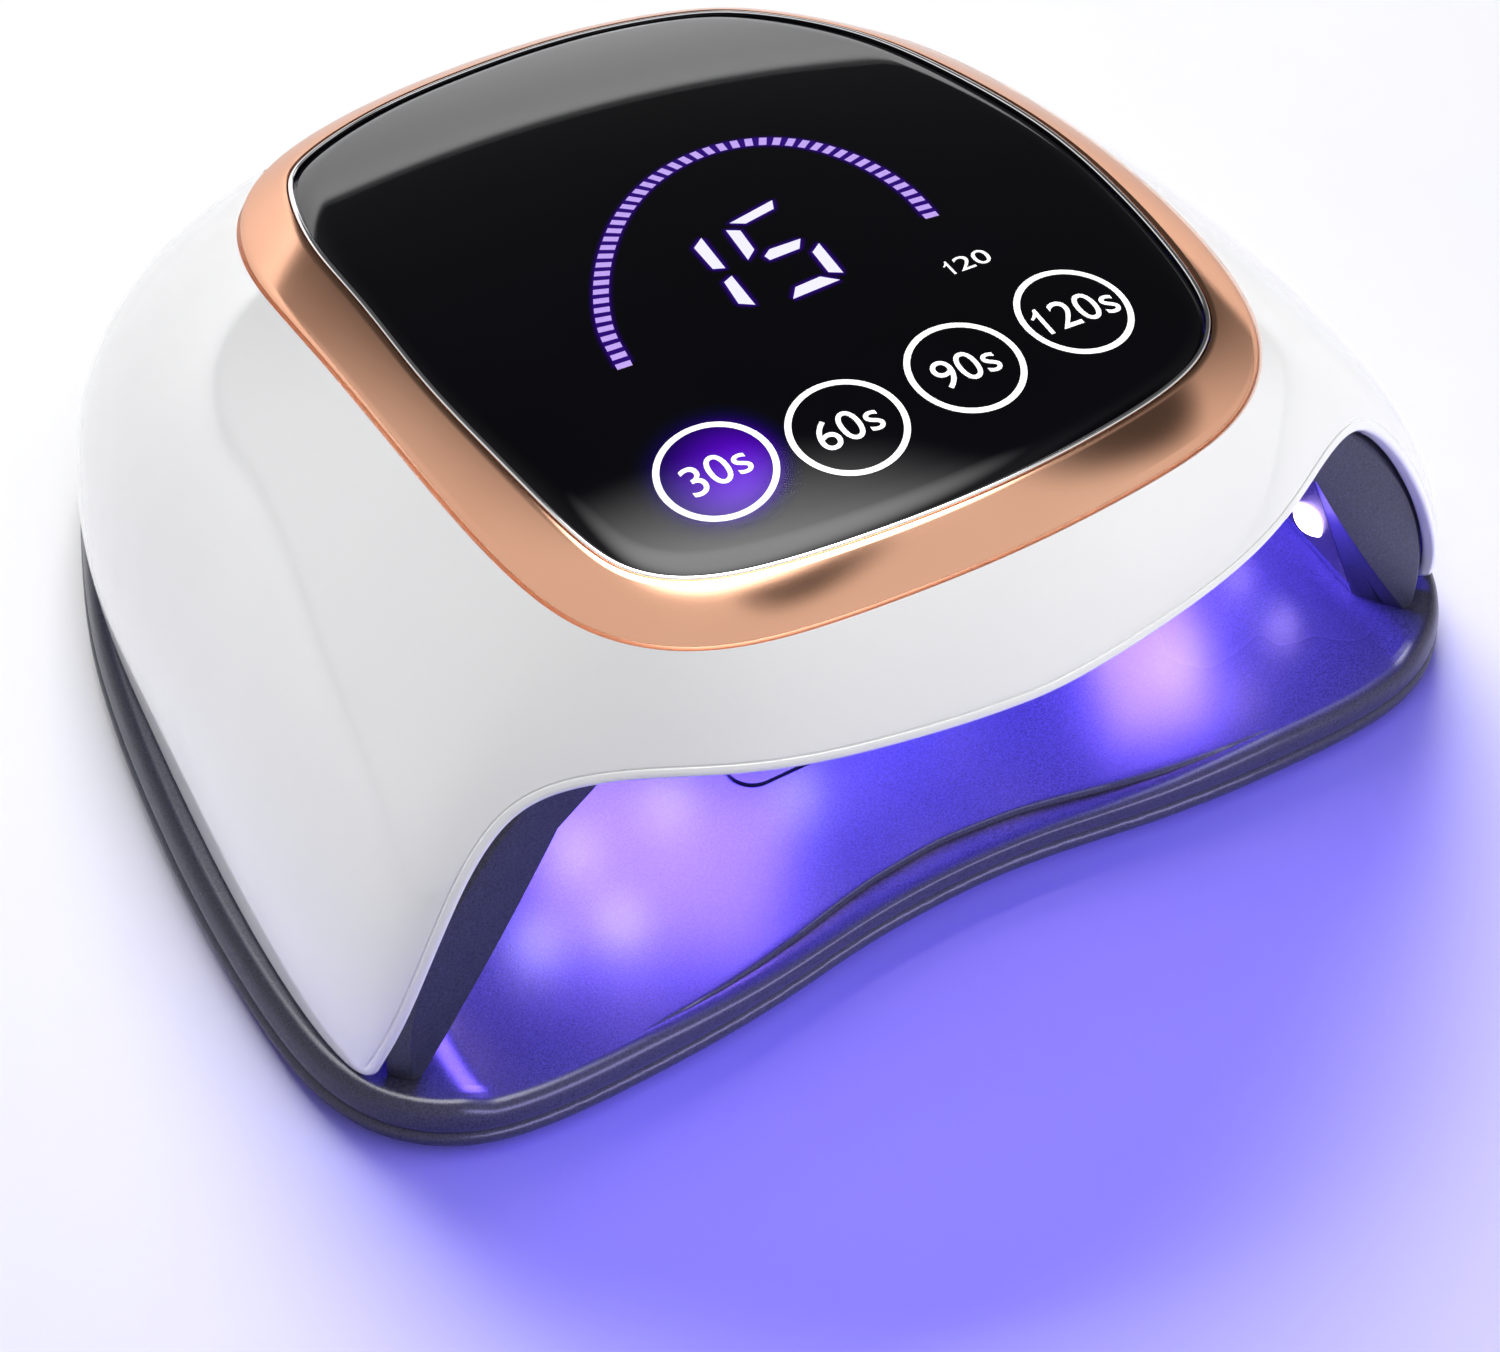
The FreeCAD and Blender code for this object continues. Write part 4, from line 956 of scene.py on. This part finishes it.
AMBIENT_LEVEL, ROOM_LEVEL, DARK_LEVEL, PANEL_LEVEL = 0.10, 0.85, 0.08, 17.0


def studio_world(panel, dark, flags):
    """Even ambient light; in reflections a bright room with one dark side and one bright panel."""
    world = bpy.data.worlds.new("studio")
    bpy.context.scene.world = world
    world.use_nodes = True
    nodes, links = world.node_tree.nodes, world.node_tree.links
    place = nodes.new("ShaderNodeTexCoord")

    def patch(direction, inner, outer):
        """1 within an angle of a direction, fading to 0 at a wider one."""
        dot = nodes.new("ShaderNodeVectorMath")
        dot.operation = "DOT_PRODUCT"
        dot.inputs[1].default_value = Vector(direction).normalized()
        links.new(place.outputs["Generated"], dot.inputs[0])
        span = nodes.new("ShaderNodeMapRange")
        span.interpolation_type = "SMOOTHSTEP"
        span.inputs["From Min"].default_value = math.cos(math.radians(outer))
        span.inputs["From Max"].default_value = math.cos(math.radians(inner))
        links.new(dot.outputs["Value"], span.inputs["Value"])
        return span.outputs["Result"]

    def blended(factor, first, second):
        mix = nodes.new("ShaderNodeMix")
        mix.inputs["Factor"].default_value = 0.0
        links.new(factor, mix.inputs["Factor"])
        for value, socket in ((first, mix.inputs["A"]), (second, mix.inputs["B"])):
            if isinstance(value, float):
                socket.default_value = value
            else:
                links.new(value, socket)
        return mix.outputs["Result"]

    level = blended(patch(*dark), ROOM_LEVEL, DARK_LEVEL)
    for flag in flags:
        level = blended(patch(*flag), level, DARK_LEVEL)
    level = blended(patch(*panel), level, PANEL_LEVEL)
    ray = nodes.new("ShaderNodeLightPath")
    level = blended(ray.outputs["Is Glossy Ray"], AMBIENT_LEVEL, level)
    level = blended(ray.outputs["Is Camera Ray"], level, 1.0)
    links.new(level, nodes["Background"].inputs["Strength"])
    nodes["Background"].inputs["Color"].default_value = (1, 1, 1, 1)


# Direction of each, and the angles in degrees within which it is full and outside which it ends.
studio_world(panel=((0.02, 0.16, 0.987), 5, 30), dark=((0.45, 0.75, 0.45), 30, 70),
             flags=[((0.05, -0.34, 0.94), 4, 13), ((0.70, -0.20, 0.69), 5, 16)])


def collection_of(name, pieces):
    group = bpy.data.collections.new(name)
    for piece in pieces:
        group.objects.link(piece)
    return group



cad_nodes = frame["nodes"]
lamp_pieces = collection_of("lamp_pieces", [piece for piece in bpy.context.scene.objects
                                            if piece.type == "MESH" and piece is not floor])
floor_only = collection_of("floor_only", [floor])
lit_from_inside = collection_of("lit_from_inside", [tray_upper, mouth_frame, cad_nodes["tray_bottom"],
                                                    cad_nodes["tray_inlay"], cad_nodes["lower_housing"]])
shading_the_inside = collection_of("shading_the_inside", [shell, mouth_frame, tray_upper])
tray_only = collection_of("tray_only", [tray_upper, cad_nodes["tray_bottom"]])


def area_light(name, place, aim, size, power, colour, lights):
    """Rectangular light that reaches the pieces of one collection only."""
    data = bpy.data.lights.new(name, "AREA")
    data.shape = "RECTANGLE"
    data.size, data.size_y = size
    data.energy = power
    data.color = colour
    lamp = bpy.data.objects.new(name, data)
    lamp.location = place
    lamp.rotation_mode = "QUATERNION"
    lamp.rotation_quaternion = (Vector(aim) - Vector(place)).to_track_quat("-Z", "Y")
    lamp.visible_camera = False
    bpy.context.scene.collection.objects.link(lamp)
    lamp.light_linking.receiver_collection = lights
    return lamp


WHITE = (1, 1, 1)
VIOLET = (0.21, 0.12, 1.0)
BLUE = (0.07, 0.05, 1.0)
BLUE_VIOLET = (0.12, 0.085, 1.0)
PALE_VIOLET = (0.50, 0.46, 1.0)
SPOT_VIOLET = (0.55, 0.48, 1.0)

# The table is lit from behind the lamp, so that the lamp's own light shows in front of it.
area_light("table_light", (0.42, 1.75, 1.62), (0, 0, 0), (1.8, 1.2), 90, WHITE, floor_only)
for name, place, size, power in (
        ("side_light", (-1.05, 0.10, 0.75), (0.5, 0.7), 0.5),
        ("top_light", (-0.42, 0.24, 1.09), (0.45, 0.4), 8.6),
        ("front_light", (0.90, -0.80, 0.42), (0.5, 0.4), 11.5)):
    studio_light = area_light(name, place, (0, 0, 0.04), size, power, WHITE, lamp_pieces)
    studio_light.visible_glossy = False

# Light of the LEDs: soft fields on the tray, what falls on the table in front, and on the rim.
inside = [area_light(*values) for values in (
    ("led_field_left", (-0.026, -0.034, 0.056), (-0.046, -0.060, 0.011), (0.044, 0.030), 0.30, VIOLET,
     lit_from_inside),
    ("led_field_right", (0.068, -0.050, 0.040), (0.064, -0.066, 0.011), (0.020, 0.024), 0.15, VIOLET,
     lit_from_inside),
    ("led_field_rear", (0.010, 0.010, 0.055), (0.005, -0.030, 0.011), (0.090, 0.050), 2.1, BLUE,
     lit_from_inside),
    ("led_spill", (-0.015, -0.125, 0.125), (-0.015, -0.145, 0), (0.25, 0.10), 0.32, BLUE_VIOLET,
     floor_only),
    ("led_rim", (-0.01, -0.210, 0.045), (-0.01, -0.090, 0.006), (0.24, 0.04), 0.45, PALE_VIOLET,
     tray_only))]
for lamp in inside:
    lamp.light_linking.blocker_collection = shading_the_inside
# The tray is satin, so each spot stands where the camera sees it mirrored in the tray.
# Floor places of the spots in mm, how high over the tray each light stands, and its power.
SPOTS = [(-36, -52, 30, 0.021), (-16, -61, 30, 0.019), (-54, -53, 30, 0.021), (-55, -69, 30, 0.025),
         (-69, -66, 28, 0.022), (55, -69, 26, 0.013), (77, -68, 8, 0.0016)]
for number, (x, y, height, power) in enumerate(SPOTS):
    data = bpy.data.lights.new(f"led_spot_{number + 1}", "SPOT")
    data.energy = power
    data.color = SPOT_VIOLET
    data.spot_size = math.radians(38)
    data.spot_blend = 1.0
    data.shadow_soft_size = 0.0045
    spot = bpy.data.objects.new(data.name, data)
    aim = Vector((x, y, TRAY_FLOOR_Z)) * MM
    seen = camera.matrix_world.translation - aim
    spot.location = aim + Vector((-seen.x, -seen.y, seen.z)) * (height * MM / seen.z)
    spot.rotation_mode = "QUATERNION"
    spot.rotation_quaternion = (aim - spot.location).to_track_quat("-Z", "Y")
    spot.visible_camera = False
    spot.light_linking.receiver_collection = lit_from_inside
    spot.light_linking.blocker_collection = tray_only
    bpy.context.scene.collection.objects.link(spot)
    inside.append(spot)
for lamp in inside:
    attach(lamp, "lamp_head")
